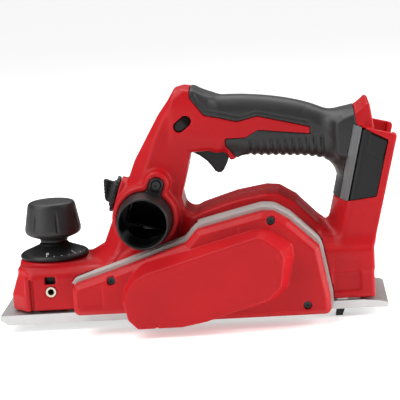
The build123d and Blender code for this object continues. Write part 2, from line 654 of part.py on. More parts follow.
def belt_path(clear):
    """The belt's run round both pulleys, clear of them all the way."""
    return capsule(DRUM_X, DRUM_Z, MOTOR_X, MOTOR_Z, DRUM_PULLEY_R + clear, MOTOR_PULLEY_R + clear)


# ---- motor ----
def around_motor(shape, turn):
    """A shape turned about the motor's axis."""
    return shape.rotate(Axis((MOTOR_X, 0, MOTOR_Z), (0, 1, 0)), turn)


def make_motor():
    """The motor, its cooling fan and the pulley on its shaft."""
    shaft = disc_y(MOTOR_X, MOTOR_Z, SHAFT_R, SHAFT_END, -22) + disc_y(MOTOR_X, MOTOR_Z, TAIL_R, -22, 37)
    save("motor_shaft", shaft)
    save("motor_pulley", pulley(MOTOR_X, MOTOR_Z, MOTOR_PULLEY_R))
    core = ring_y(MOTOR_X, MOTOR_Z, 19.4, TAIL_R, -20, 18)
    notch = block(MOTOR_X - 0.9, MOTOR_X + 0.9, -21, 19, MOTOR_Z + 14, MOTOR_Z + 20)
    for i in range(ROTOR_SLOTS):
        core -= around_motor(notch, 360 / ROTOR_SLOTS * i)
    save("rotor_core", core)
    save("commutator", ring_y(MOTOR_X, MOTOR_Z, 8.5, TAIL_R, 19, 30))
    fan = ring_y(MOTOR_X, MOTOR_Z, 8, SHAFT_R, -38, -25) + ring_y(MOTOR_X, MOTOR_Z, 25, 7, -38, -36.4)
    vane = block(MOTOR_X - 0.7, MOTOR_X + 0.7, -37, -28, MOTOR_Z + 7.5, MOTOR_Z + 24.5)
    for i in range(FAN_BLADES):
        fan += around_motor(vane, 360 / FAN_BLADES * i)
    save("cooling_fan", fan)
    save("motor_can", ring_y(MOTOR_X, MOTOR_Z, CAN_OUTER, CAN_INNER, -22, 20))
    gap = block(MOTOR_X - 40, MOTOR_X + 40, -30, 30, MOTOR_Z - 7, MOTOR_Z + 7)
    save("magnets", ring_y(MOTOR_X, MOTOR_Z, CAN_INNER, 20.2, -20, 18) - gap)
    bearings = ring_y(MOTOR_X, MOTOR_Z, BEARING_R, SHAFT_R, PLATE_FRONT + 1, PLATE_BACK - 1)
    bearings += ring_y(MOTOR_X, MOTOR_Z, 9.5, TAIL_R, 31, 37)
    save("motor_bearings", bearings)
    holder = ring_y(MOTOR_X, MOTOR_Z, CAN_OUTER, 13.5, 20, 23)
    holder += ring_y(MOTOR_X, MOTOR_Z, CAN_OUTER, 25, 20, 38)
    holder += ring_y(MOTOR_X, MOTOR_Z, CAN_OUTER, 9.5, 31, 38)
    tunnels = both_z(block(MOTOR_X - 4, MOTOR_X + 4, 22, 32, MOTOR_Z + 13.5, MOTOR_Z + 26))
    brush = both_z(block(MOTOR_X - 2.5, MOTOR_X + 2.5, 24, 30, MOTOR_Z + 8.6, MOTOR_Z + 22))
    save("brush_holder", holder + tunnels - brush)
    save("brushes", brush)


def both_z(shape):
    """A shape and its twin half a turn round the motor."""
    return shape + around_motor(shape, 180)


# ---- dust ports and chip selector ----
def dust_port(mouth):
    """A port on the left side, from its mouth to the end of the sleeve that lines the duct."""
    tube = Pos(PORT_X, -(PORT_HALF + mouth) / 2, PORT_Z) * Rot(90, 0, 0)
    ring = tube * Cone(PORT_OUTER, PORT_LIP, mouth - PORT_HALF)
    ring += prism(port_boss_outline(0), -PORT_HALF, -PORT_HALF + 4)
    ring += disc_y(EAR_X, EAR_Z, EAR_RADIUS - 0.4, -PORT_HALF - 1, -PORT_HALF)
    ring += disc_y(PORT_X, PORT_Z, SLEEVE_OUTER, -PORT_HALF, -SLEEVE_END)
    ring -= disc_y(PORT_X, PORT_Z, PORT_SOCKET, -mouth - 1, -mouth + SOCKET_DEPTH)
    ring -= disc_y(PORT_X, PORT_Z, PORT_INNER, -mouth + SOCKET_DEPTH, 0)
    return ring - disc_y(EAR_X, EAR_Z, 1.8, -60, 0)


def make_ports():
    """Both dust ports and the screws in their tabs."""
    save("left_dust_port", dust_port(LEFT_MOUTH))
    save("right_dust_port", mirrored(dust_port(RIGHT_MOUTH)))
    head = disc_y(EAR_X, EAR_Z, 3.2, -PORT_HALF - 3, -PORT_HALF - 1)
    screw = head + disc_y(EAR_X, EAR_Z, 1.7, -PORT_HALF - 1, -PORT_HALF + 3.9)
    screw -= disc_y(EAR_X, EAR_Z, 1.3, -PORT_HALF - 4, -PORT_HALF - 2)
    save("port_screws", both_sides(screw))


def make_selector():
    """The knob, shaft and scoop that send the chips left or right."""
    knob = selector_cylinder(14.6, 0.6, 3.4) + selector_cylinder(10.5, 3.4, 5)
    fin = extrude(selector_axis_plane(3) * Rectangle(6, 22), 7)
    fin = fillet(fin.edges().filter_by(lambda e: abs(e.tangent_at(0.5).dot(SELECTOR_OUT)) > 0.99), 2)
    save("selector_knob", knob + fin)
    save("selector_shaft", selector_cylinder(4, -12.5, 0.6))
    scoop = selector_cylinder(SCOOP_OUTER, -44, -14) - selector_cylinder(SCOOP_INNER, -45, -13.9)
    scoop = scoop & block(-100, 50, 0, 30, 0, 200)
    save("chip_deflector", scoop + selector_cylinder(SCOOP_OUTER, -14, -12.5))


# ---- handle controls ----
def make_controls():
    """The trigger, the switch it presses and the lock-off button."""
    trigger = slab([
        (5.5, 126), (4, 131, 2), (12, 135.5, 2), (33, 133, 2), (36.5, 121), (34, 116),
        (30, 109.5, 2.5), (25.5, 107.4, 3), (18, 117),
    ], -8, 8)
    save("trigger", trigger - disc_y(TRIGGER_X, TRIGGER_Z, 2 + RUN, -20, 20))
    save("trigger_pin", disc_y(TRIGGER_X, TRIGGER_Z, 2, -15, 15))
    coil_turns = [ring_y(TRIGGER_X, TRIGGER_Z, 4.2, 3.2, 9 + 1.1 * i, 10 + 1.1 * i) for i in range(4)]
    leg = block(TRIGGER_X - 0.5, TRIGGER_X + 0.5, 9, 13.2, TRIGGER_Z + 3.3, TRIGGER_Z + 9)
    save("trigger_spring", leg.fuse(*coil_turns) - disc_y(TRIGGER_X, TRIGGER_Z, 3.2, 0, 20))
    switch = block(40, 74, -9.5, 9.5, 129.5, 152) + block(36, 40, -4, 4, 138, 144)
    save("switch_module", switch)
    button = lock_slot(*LOCK_SIZE, -LOCK_HALF, LOCK_HALF)
    waist = block(-20, 20, -14.4, -5.6, LOCK_Z - 20, LOCK_Z + 20)
    button -= both_sides(waist - disc_y(LOCK_X, LOCK_Z, 3, -15, -5))
    save("lock_off_button", button)
    clip = [ring_y(LOCK_X, LOCK_Z, 6.4, 3.4, -10.8 + 19.8 * i, -9 + 19.8 * i) for i in range(2)]
    save("lock_off_spring", clip[0] + clip[1])


# ---- kickstand ----
def make_kickstand():
    """The leg that holds the rear shoe off the bench, with its pin and spring."""
    tip = [(KICK_X - 6, -6.2, 0.6), (KICK_X - 0.5, -6.2, 0.6)]
    leg = slab([*tip, (KICK_X + 3.2, KICK_Z - 1), (KICK_X + 3, KICK_Z + 1), (KICK_X - 3, KICK_Z + 1)],
               KICK_Y - 4, KICK_Y + 2)
    leg += disc_y(KICK_X, KICK_Z, 3.2, KICK_Y - 4, KICK_Y + 2)
    leg -= disc_y(KICK_X, KICK_Z, 1.5 + RUN, -60, 0)
    save("kickstand", leg)
    end = KICK_SLOT + KICK_EAR
    save("kickstand_pin", disc_y(KICK_X, KICK_Z, 1.5, KICK_Y - end, KICK_Y + end))
    starts = [KICK_Y + 2.3 + 0.6 * i for i in range(3)]
    turns = [ring_y(KICK_X, KICK_Z, 2.7, 1.9, y, y + 0.6) for y in starts]
    save("kickstand_spring", turns[0].fuse(*turns[1:]))


# ---- battery end, electronics and fasteners ----
def make_electrics():
    """The battery terminals, the control board and the screws that join the shells."""
    save("terminal_block", rear_band(BAY_FOOT + 0.1, BAY_FOOT + 30, -17.9, -9, -20, 20))
    blades = [rear_band(BAY_FOOT + 4, BAY_FOOT + 26, -9, -5, y - 0.5, y + 0.5) for y in (-15, -5, 5, 15)]
    save("terminals", blades[0].fuse(*blades[1:]))
    save("control_board", slab([(24, 75.6), (66, 84.8), (66, 86.6), (24, 77.4)], -20, 20))
    screws = [disc_y(x, z, 3, 8, 11) + disc_y(x, z, 1.6, -6, 8) for x, z in HOUSING_SCREWS]
    save("housing_screws", screws[0].fuse(*screws[1:]))


def drill_screws():
    """Screw pockets in both shells, from the right side."""
    for name in ("left_shell", "right_shell"):
        for x, z in HOUSING_SCREWS:
            pieces[name] -= disc_y(x, z, 3.05, 8, 60) + disc_y(x, z, 1.65, -6, 8)


make_housing()
make_shoes()
make_depth_setting()
make_drive_side()
make_cutter()
make_motor()
make_ports()
make_selector()
make_controls()
make_kickstand()
make_electrics()
drill_screws()

os.makedirs("parts", exist_ok=True)
for name, shape in pieces.items():
    export_step(Compound(children=shape.solids()), f"parts/{name}.step")
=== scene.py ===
"""Cordless hand planer: the looks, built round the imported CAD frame.

Shapes are worked out in millimetres and turned into metres when their mesh is made.
+X runs to the rear, +Z is up and the belt cover is on the -Y side.
"""
import json
import math

import bpy
import numpy as np
from mathutils import Matrix, Vector


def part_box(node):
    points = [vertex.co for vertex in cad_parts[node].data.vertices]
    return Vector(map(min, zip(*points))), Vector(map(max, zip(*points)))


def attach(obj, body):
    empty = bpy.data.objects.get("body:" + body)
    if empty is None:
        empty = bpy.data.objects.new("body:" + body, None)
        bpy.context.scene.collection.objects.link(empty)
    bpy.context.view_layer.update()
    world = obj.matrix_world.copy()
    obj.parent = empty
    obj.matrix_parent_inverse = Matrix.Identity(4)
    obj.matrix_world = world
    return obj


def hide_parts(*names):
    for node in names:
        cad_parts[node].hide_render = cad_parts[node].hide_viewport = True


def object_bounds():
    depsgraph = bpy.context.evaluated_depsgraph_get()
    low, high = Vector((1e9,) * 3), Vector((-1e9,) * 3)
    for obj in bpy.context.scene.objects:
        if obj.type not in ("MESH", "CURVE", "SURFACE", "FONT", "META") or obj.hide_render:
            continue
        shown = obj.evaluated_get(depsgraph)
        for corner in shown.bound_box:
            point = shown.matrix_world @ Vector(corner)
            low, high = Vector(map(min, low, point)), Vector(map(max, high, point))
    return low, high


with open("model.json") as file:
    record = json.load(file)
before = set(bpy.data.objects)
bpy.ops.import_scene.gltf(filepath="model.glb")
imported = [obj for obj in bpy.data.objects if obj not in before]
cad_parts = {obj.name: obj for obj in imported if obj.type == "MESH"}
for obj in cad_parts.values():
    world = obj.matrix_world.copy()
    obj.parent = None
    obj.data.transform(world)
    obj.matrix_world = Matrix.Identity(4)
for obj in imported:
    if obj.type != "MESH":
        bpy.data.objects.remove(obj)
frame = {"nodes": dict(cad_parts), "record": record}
CAD_BOUNDS = [list(corner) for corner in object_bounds()]
MM = 0.001


# ---- where things are, read from the frame ----
def low(node):
    return np.array(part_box(node)[0]) / MM


def high(node):
    return np.array(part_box(node)[1]) / MM


def middle(node):
    return (low(node) + high(node)) / 2


DRUM = middle("cutter_drum")
MOTOR = middle("motor_pulley")
KNOB = middle("depth_knob")
FENCE = middle("fence_inserts")
PORT_OUTER = 21.6
PORT_LIP = 20.2
PORT_BORE = 18.5
PORT_INNER = 19.2
DUCT_RADIUS = 20.5
BAY_RADIUS = 20.2
LEFT_MOUTH = -low("left_dust_port")[1]
RIGHT_MOUTH = high("right_dust_port")[1]
PORT = (low("left_dust_port")[0] + PORT_OUTER, low("left_dust_port")[2] + PORT_OUTER)
PORT_HALF = 37.0
EAR = (-21.3, 105.6)
EAR_ROOT = (PORT[0] + 5, PORT[1] + 12)
EAR_RADIUS = 5.5
BUTTON = middle("lock_off_button")
BUTTON_TILT = math.radians(38)
BUTTON_HALF = high("lock_off_button")[1]
SELECTOR = np.array([-55.5, 0.0, 93.5])
SELECTOR_OUT = np.array([-0.947, 0.0, 0.321])
BASE_HALF = 39.5
ARM_HALF = 21.0
POST_HALF = 36.0
RIGHT_WALL = 41.0
HUMP_HALF = 26.0
NOSE_CASE_BACK = -36.0
CASE_MARGIN = 2.3
CASE_LEFT = -89.6
CASE_LEFT_TOP = 33.5
COVER_FACE = -65.0
COVER_BACK = -50.0
BULGE_FACE = -82.0
REAR_LOW = np.array([144.5, 42.0])
REAR_HIGH = np.array([168.0, 134.5])
CHAMBER_RADIUS = 29.8
SLOT_Z = 34.0
SLOT_HALF = (4.0, 2.8)
VENTS = 5
VENT_PITCH = 9.0
SCREW_RADIUS = 3.05
RIB_PITCH = 5.7
GRIP_PROUD = 0.5
TRIGGER_PIN = (8, 131.5)
FLANGE_DEPTH = 4.0
SOCKET_DEPTH = 12.0
DIAL_RIM = (26.2, 50.3)
DIAL_TOP = (18, 53.6)
DIAL_MARKS = 15
MARKS_PER_NUMBER = 4
MARK_SPACING = math.radians(14)
FIRST_MARK = math.radians(-98)

# ---- mesh cell sizes ----
HOUSING_STEP = 1.25
COVER_STEP = 1.1
GRIP_STEP = 1.0
PORT_STEP = 0.8
TRIM_STEP = 0.7
SMALL_STEP = 0.6

# ---- outlines on XZ ----
COVER_OUTLINE = [
    (-90, 33.5), (-62, 41.8), (-22, 55), (0, 62), (9.5, 72.2), (45, 80.5), (60, 83.8), (69, 83.3),
    (80, 76.5), (103, 54.3), (109.6, 15), (110, 1.2), (12, 1.2), (-50, 9.8), (-90, 9.8),
]
BULGE_FOOT = [
    (-50.7, 21), (-48.5, 31), (-41, 43), (-32, 49), (50, 70.5), (60, 72), (66, 70),
    (82, 59), (83, 50), (77, 26), (65, 15.5), (14, 3), (-5, 1), (-40, 1), (-48, 8),
]
BULGE_TOP = [
    (-48.5, 22), (-46, 31), (-38.5, 40.5), (-30, 44.5), (50, 66.8), (56, 68.2), (61, 66.8),
    (73.5, 57), (75.6, 51), (72, 29), (62, 19.5), (14, 5), (-5, 1.6), (-39, 1.6), (-46, 9),
]
HUMP = [
    (-50, 38), (-3, 60), (4, 75.5), (12, 80), (40, 88.3), (64, 92), (74, 91),
    (87, 83), (107, 62), (112, 50), (112, 7.5), (-2, 7.5), (-50, 12),
]
HUMP_LOW = [
    (-2, 60), (6, 68), (14, 73), (40, 81), (64, 84), (72, 83), (83, 76.5), (101, 58),
    (106, 46), (106, 7.5), (-2, 7.5),
]
NOSE_CASE = [(-64, 10), (-64, 42.8), (-22, 57.4), (-2, 58.6), (-2, 10)]
THROAT = [(-50, 38), (-46, 68), (-20, 68), (-10, 50), (-20, 38)]
MOTOR_LOFT = [(18, 62), (20, 77), (62, 88.5), (74, 87.5), (90, 72), (92, 20), (20, 20)]
GRIP_BAY = [(16, 133), (20, 160), (52, 160), (90, 153), (92, 126), (50, 128)]
ARM = [
    (-88, 40), (-83, 45), (-79, 49.5), (-69, 54.5), (-60.5, 75), (-45.5, 107), (-39.5, 121.5),
    (-19.5, 155), (-8.5, 169.3), (2, 177), (11, 175.5), (24, 168), (30, 124), (20, 128),
    (6, 126.5), (3, 113), (-3, 92), (-1.5, 84), (3, 76), (-2, 60), (-20, 40),
]
ARM_SIDE = [
    (4, 182), (-6, 169), (-15, 152), (-22, 138), (-27, 124), (-61.5, 42), (-64, 20), (80, 20), (80, 182),
]
POST = [
    (118, 118), (120.5, 101), (112, 67), (108, 62), (107, 50), (146.5, 50), (168, 134.5), (136, 143),
]
POST_SIDE = [(143.6, 152), (127.3, 84), (121.5, 60), (118, 46), (116, 40), (190, 40), (190, 152)]
HOOK = [
    (122, 144), (127, 147.6), (136, 151), (145.5, 159.5), (148, 158), (150.5, 140), (140, 118), (122, 120),
]
GUARD = [(30, 132), (36.8, 118), (39, 118), (50, 124), (50, 134)]
GRIP_REGION = [
    (8, 190), (8.3, 170), (18.5, 156), (44, 149), (60, 152.5), (101, 142), (101, 136), (60, 141),
    (50, 135.5), (34, 135.5), (34, 130), (42, 120), (42, 100), (114.5, 100), (113, 84.5), (123, 84.5),
    (136.6, 143.6), (135.5, 156), (120, 170), (60, 190),
]
GRIP_LINE = [(13, 172), (21, 159.5), (46, 152.5), (59, 156), (100, 146)]
GRIP_CREASE = [(94, 152.5), (99.5, 158), (104.5, 155), (108, 148), (112, 139), (118, 131)]
TRIGGER_POCKET = [(1, 138), (34, 144), (40, 132), (41, 118), (20, 110), (1, 124)]
TRIGGER = [
    (5.5, 126), (4, 131), (8, 134.6), (14, 135.2), (32, 133), (34.5, 127), (36.3, 121), (34.6, 116),
    (31.6, 110.2), (29.4, 107.9), (26.5, 107.4), (24.2, 108.9), (21.4, 113), (18, 117.4), (12.5, 121.9),
]
SIDE_STRIP = [(120.6, 84), (127.3, 84), (141, 141), (134.6, 143.5)]
SIDE_PANEL = [(127.3, 84), (149.6, 86.5), (160.8, 130.5), (141, 141)]
RAISED = [(144, 121), (155, 113), (160.6, 130), (147.5, 137)]
COVER_PANEL = [(-86, 17), (-66.5, 17), (-66.5, 34.5), (-86, 30)]
COVER_PLATE = [(28, 66.3), (42.5, 69.8), (41.4, 75), (27, 71.4)]
COVER_CREASE = [(66.5, 24), (69.5, 33), (70.5, 52)]
COVER_TICK = [(-24.5, 2), (-23.4, 5.8)]
HANDLE_X = np.array([-4.0, 25, 50, 76, 100, 118, 132])
HANDLE_LOW = np.array([132.0, 126.5, 121, 119, 117, 113, 108])
HANDLE_HIGH = np.array([175.0, 169, 167.8, 164.4, 158.3, 151, 149.5])
HANDLE_HALF = np.array([20.0, 17.2, 16.2, 16.4, 17.0, 19.5, 23.0])
HOUSING_SCREWS = [(1, 166), (-30, 124), (98, 140), (128, 128), (118, 60), (10, 72), (98, 16)]
COVER_SCREWS = [(-58.9, 36.8), (66.8, 77.4), (91.5, 9.8)]


# ---- signed distances: negative inside, in millimetres ----
def polygon(points, corner=0.0):
    """Distance to an outline on (u, v), its outward corners rounded to a radius."""
    corners = inset(points, corner) if corner else np.array(points, float)

    def distance(u, v):
        nearest = np.full(np.broadcast(u, v).shape, 1e9)
        sign = np.ones_like(nearest)
        for (au, av), (bu, bv) in zip(corners, np.roll(corners, -1, axis=0)):
            du, dv = bu - au, bv - av
            wu, wv = u - au, v - av
            along = np.clip((wu * du + wv * dv) / (du * du + dv * dv), 0, 1)
            nearest = np.minimum(nearest, (wu - along * du) ** 2 + (wv - along * dv) ** 2)
            above, below, left = v >= av, v < bv, du * wv > dv * wu
            crossing = (above & below & left) | (~above & ~below & ~left)
            sign = np.where(crossing, -sign, sign)
        return sign * np.sqrt(nearest) - corner

    return distance


def inset(points, amount):
    """The outline moved inwards by amount, with mitred corners."""
    p = np.array(points, float)
    before, after = np.roll(p, 1, axis=0), np.roll(p, -1, axis=0)
    area = np.sum(p[:, 0] * after[:, 1] - after[:, 0] * p[:, 1])
    turn = 1.0 if area > 0 else -1.0

    def inward(a, b):
        d = (b - a) / np.linalg.norm(b - a, axis=1, keepdims=True)
        return np.stack([-d[:, 1], d[:, 0]], axis=1) * turn

    n0, n1 = inward(before, p), inward(p, after)
    bisector = n0 + n1
    return p + bisector * (2 * amount / np.sum(bisector ** 2, axis=1, keepdims=True))


def polyline(points):
    """Distance to an open line on (u, v)."""
    p = np.array(points, float)

    def distance(u, v):
        nearest = np.full(np.broadcast(u, v).shape, 1e9)
        for (au, av), (bu, bv) in zip(p[:-1], p[1:]):
            du, dv = bu - au, bv - av
            along = np.clip(((u - au) * du + (v - av) * dv) / (du * du + dv * dv), 0, 1)
            nearest = np.minimum(nearest, (u - au - along * du) ** 2 + (v - av - along * dv) ** 2)
        return np.sqrt(nearest)

    return distance


def circle(u, v, centre, radius):
    """Distance to a circle on (u, v)."""
    return np.hypot(u - centre[0], v - centre[1]) - radius


def tapered(u, v, a, b, radius_a, radius_b):
    """Distance to the outline of a belt run round two circles."""
    bu, bv = b[0] - a[0], b[1] - a[1]
    h = bu * bu + bv * bv
    pu, pv = u - a[0], v - a[1]
    qu, qv = np.abs(pu * bv - pv * bu) / h, (pu * bu + pv * bv) / h
    step = radius_a - radius_b
    cu, cv = math.sqrt(h - step * step), step
    side = cu * qv - cv * qu
    near = np.sqrt(h * (qu * qu + qv * qv)) - radius_a
    far = np.sqrt(np.maximum(h * (qu * qu + qv * qv + 1 - 2 * qv), 0)) - radius_b
    flank = cu * qu + cv * qv - radius_a
    return np.where(side < 0, near, np.where(side > cu, far, flank))


def between(value, start, end):
    """Distance to the slab start < value < end."""
    return np.abs(value - (start + end) / 2) - (end - start) / 2


def solid(flat, thick, edge=1.0):
    """Two distances that cross at a right angle, combined with a rounded edge."""
    a, b = flat + edge, thick + edge
    return np.minimum(np.maximum(a, b), 0) + np.hypot(np.maximum(a, 0), np.maximum(b, 0)) - edge


def join(a, b, k):
    """Union with a fillet of about k."""
    h = np.maximum(k - np.abs(a - b), 0) / k
    return np.minimum(a, b) - h * h * k / 4


def meet(a, b, k=0.0):
    """Intersection, its edge rounded by about k."""
    return -join(-a, -b, k) if k else np.maximum(a, b)


def carve(a, b, k=0.0):
    """What is left of a without b."""
    return meet(a, -b, k)


def flowing(xs, values):
    """A smooth curve through the stations."""
    slopes = np.gradient(values, xs)

    def at(x):
        i = np.clip(np.searchsorted(xs, x) - 1, 0, len(xs) - 2)
        h = xs[i + 1] - xs[i]
        t = np.clip((x - xs[i]) / h, 0, 1)
        return ((1 + 2 * t) * (1 - t) ** 2 * values[i] + t * (1 - t) ** 2 * h * slopes[i]
                + t * t * (3 - 2 * t) * values[i + 1] + t * t * (t - 1) * h * slopes[i + 1])

    return at


# ---- meshing ----
CORNERS = [(i, j, k) for i in (0, 1) for j in (0, 1) for k in (0, 1)]
CELL_EDGES = [(a, b) for a in CORNERS for b in CORNERS if a < b and sum(np.abs(np.subtract(a, b))) == 1]


def surface_nets(field, lowest, highest, step):
    """Vertices and quads of the zero surface of a field over a box."""
    axes = [np.arange(lo, hi + step, step) for lo, hi in zip(lowest, highest)]
    x, y, z = np.meshgrid(*axes, indexing="ij", sparse=True)
    values = np.broadcast_to(field(x, y, z), tuple(len(a) for a in axes))
    cells = tuple(n - 1 for n in values.shape)

    def corner(c):
        return values[c[0]:c[0] + cells[0], c[1]:c[1] + cells[1], c[2]:c[2] + cells[2]]

    inside = values < 0
    count = sum((corner(c) < 0).astype(np.int8) for c in CORNERS)
    crossing = (count > 0) & (count < 8)
    number = np.full(cells, -1, np.int64)
    number[crossing] = np.arange(crossing.sum())
    total = np.zeros((crossing.sum(), 3))
    hits = np.zeros(crossing.sum())
    for a, b in CELL_EDGES:
        va, vb = corner(a)[crossing], corner(b)[crossing]
        crossed = (va < 0) != (vb < 0)
        t = np.where(crossed, va / np.where(crossed, va - vb, 1), 0)
        point = np.array(a) + t[:, None] * (np.array(b) - np.array(a))
        total += point * crossed[:, None]
        hits += crossed
    origin = np.array([a[0] for a in axes])
    points = origin + step * (np.argwhere(crossing) + total / hits[:, None])
    quads = []
    for axis in range(3):
        one, other = [i for i in range(3) if i != axis]
        start = [slice(1, -1)] * 3
        start[axis] = slice(0, -1)
        end = list(start)
        end[axis] = slice(1, None)
        flips = inside[tuple(start)] != inside[tuple(end)]
        where = np.argwhere(flips)
        where[:, one] += 1
        where[:, other] += 1
        ring = []
        for back_one, back_other in ((1, 1), (0, 1), (0, 0), (1, 0)):
            cell = where.copy()
            cell[:, one] -= back_one
            cell[:, other] -= back_other
            ring.append(number[tuple(cell.T)])
        ring = np.stack(ring, axis=1)
        outward = inside[tuple(start)][flips] == (axis != 1)
        quads.append(np.where(outward[:, None], ring, ring[:, ::-1]))
    return points, np.concatenate(quads)


def gradient(field, points, reach=0.05):
    """The field's slope at each point."""
    x, y, z = points.T
    parts = [
        field(x + reach * (i == 0), y + reach * (i == 1), z + reach * (i == 2))
        - field(x - reach * (i == 0), y - reach * (i == 1), z - reach * (i == 2))
        for i in range(3)
    ]
    return np.stack(parts, axis=1) / (2 * reach)


def settle(field, points, step, rounds=3):
    """Moves each vertex onto the zero surface, by no more than half a cell each time."""
    for _ in range(rounds):
        value = field(*points.T)
        slope = gradient(field, points)
        size = np.maximum(np.sum(slope ** 2, axis=1), 0.2)
        move = -slope * (value / size)[:, None]
        length = np.linalg.norm(move, axis=1, keepdims=True)
        points = points + move * np.minimum(1, 0.5 * step / np.maximum(length, 1e-9))
    return points


def add_piece(name, points, faces, material, smooth=True):
    """A mesh object from points in millimetres."""
    mesh = bpy.data.meshes.new(name)
    mesh.from_pydata((np.asarray(points) * MM).tolist(), [], [tuple(face) for face in faces])
    mesh.validate()
    mesh.update()
    mesh.materials.append(material)
    mesh.polygons.foreach_set("use_smooth", [smooth] * len(mesh.polygons))
    piece = bpy.data.objects.new(name, mesh)
    bpy.context.scene.collection.objects.link(piece)
    return piece


def carved_piece(name, field, lowest, highest, step, material):
    """A mesh of a field's zero surface, shaded with the field's own slope."""
    points, quads = surface_nets(field, lowest, highest, step)
    points = settle(field, points, step)
    piece = add_piece(name, points, quads, material)
    slope = gradient(field, points, 0.25)
    slope /= np.maximum(np.linalg.norm(slope, axis=1, keepdims=True), 1e-9)
    if len(piece.data.vertices) == len(slope):
        piece.data.normals_split_custom_set_from_vertices(slope.tolist())
    return piece


def darken_inside(piece, shade_mask, material):
    """Painted shade: gives another material, a dark one, to the faces whose middles lie where the mask says
    so.
    """
    piece.data.materials.append(material)
    count = len(piece.data.polygons)
    middles = np.empty(count * 3)
    piece.data.polygons.foreach_get("center", middles)
    inside = shade_mask(*(middles.reshape(-1, 3).T / MM))
    piece.data.polygons.foreach_set("material_index", inside.astype(np.int32))


def stand_for(piece, body, cad_node):
    """Puts a piece in the place of a CAD node."""
    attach(piece, body)
    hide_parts(cad_node)


def carved_stand_in(name, field, lowest, highest, step, body, slot, cad_node):
    """A carved piece in the place of a CAD node."""
    piece = carved_piece(name, field, lowest, highest, step, MATERIALS[slot])
    stand_for(piece, body, cad_node)
    return piece


# ---- materials ----
def new_material(name):
    """A material with its node tree and its shader."""
    material = bpy.data.materials.new(name)
    material.use_nodes = True
    tree = material.node_tree
    shader = tree.nodes["Principled BSDF"]
    return material, tree, shader


def node(tree, kind, **settings):
    """A new node, its inputs or properties set by name."""
    made = tree.nodes.new(kind)
    for key, value in settings.items():
        if key in made.inputs:
            made.inputs[key].default_value = value
        else:
            setattr(made, key, value)
    return made


def noise(tree, coordinates, scale, detail=3.0, roughness=0.5):
    made = node(tree, "ShaderNodeTexNoise", Scale=scale, Detail=detail, Roughness=roughness)
    tree.links.new(coordinates, made.inputs["Vector"])
    return made.outputs["Fac"]


def ranged(tree, value, low_in, high_in, low_out, high_out):
    """A value moved from one range to another."""
    limits = {"From Min": low_in, "From Max": high_in, "To Min": low_out, "To Max": high_out}
    made = node(tree, "ShaderNodeMapRange", **limits)
    tree.links.new(value, made.inputs["Value"])
    return made.outputs["Result"]


def mixed(tree, factor, colour_a, colour_b):
    """Two colours, or colour sockets, mixed by a factor."""
    made = node(tree, "ShaderNodeMix", data_type="RGBA")
    tree.links.new(factor, made.inputs["Factor"])
    for socket, colour in ((made.inputs[6], colour_a), (made.inputs[7], colour_b)):
        if isinstance(colour, tuple):
            socket.default_value = (*colour, 1)
        else:
            tree.links.new(colour, socket)
    return made.outputs[2]


def bumped(tree, shader, heights):
    """Chains bump nodes: (height socket, strength, distance in millimetres)."""
    normal = None
    for height, strength, depth in heights:
        made = node(tree, "ShaderNodeBump", Strength=strength, Distance=depth * MM)
        tree.links.new(height, made.inputs["Height"])
        if normal is not None:
            tree.links.new(normal, made.inputs["Normal"])
        normal = made.outputs["Normal"]
    tree.links.new(normal, shader.inputs["Normal"])


def moulded(name, colour, worn, rough, grain, depth, specular=0.5):
    """Moulded plastic or rubber: spark-eroded grain, faint mottling, edges a little worn."""
    material, tree, shader = new_material(name)
    place = node(tree, "ShaderNodeTexCoord").outputs["Object"]
    mottle = noise(tree, place, 22, 4, 0.6)
    grit = noise(tree, place, grain, 2, 0.6)
    fine = noise(tree, place, grain * 2.7, 2, 0.5)
    smear = noise(tree, place, 70, 5, 0.7)
    point = node(tree, "ShaderNodeNewGeometry").outputs["Pointiness"]
    edge = ranged(tree, point, 0.52, 0.62, 0, 0.35)
    darker = tuple(c * 0.9 for c in colour)
    lighter = tuple(min(1, c * 1.08) for c in colour)
    base = mixed(tree, ranged(tree, mottle, 0.3, 0.7, 0, 1), darker, lighter)
    tree.links.new(mixed(tree, edge, base, worn), shader.inputs["Base Color"])
    tree.links.new(ranged(tree, smear, 0.25, 0.75, rough - 0.05, rough + 0.07), shader.inputs["Roughness"])
    shader.inputs["Specular IOR Level"].default_value = specular
    bumped(tree, shader, [(grit, 0.6, depth), (fine, 0.5, depth * 0.5)])
    return material


def metal(name, colour, rough, grain=(1, 1, 1), scale=400, depth=0.02, metallic=1.0):
    """Metal with a machined or cast texture, stretched along the tool marks by grain."""
    material, tree, shader = new_material(name)
    coordinates = node(tree, "ShaderNodeTexCoord").outputs["Object"]
    mapping = node(tree, "ShaderNodeMapping")
    mapping.inputs["Scale"].default_value = grain
    tree.links.new(coordinates, mapping.inputs["Vector"])
    marks = noise(tree, mapping.outputs["Vector"], scale, 4, 0.65)
    cloud = noise(tree, coordinates, 30, 4, 0.6)
    darker = tuple(c * 0.88 for c in colour)
    base = mixed(tree, ranged(tree, cloud, 0.3, 0.7, 0, 1), darker, colour)
    tree.links.new(base, shader.inputs["Base Color"])
    tree.links.new(ranged(tree, marks, 0.3, 0.7, rough - 0.06, rough + 0.08), shader.inputs["Roughness"])
    shader.inputs["Metallic"].default_value = metallic
    bumped(tree, shader, [(marks, 0.5, depth)])
    return material


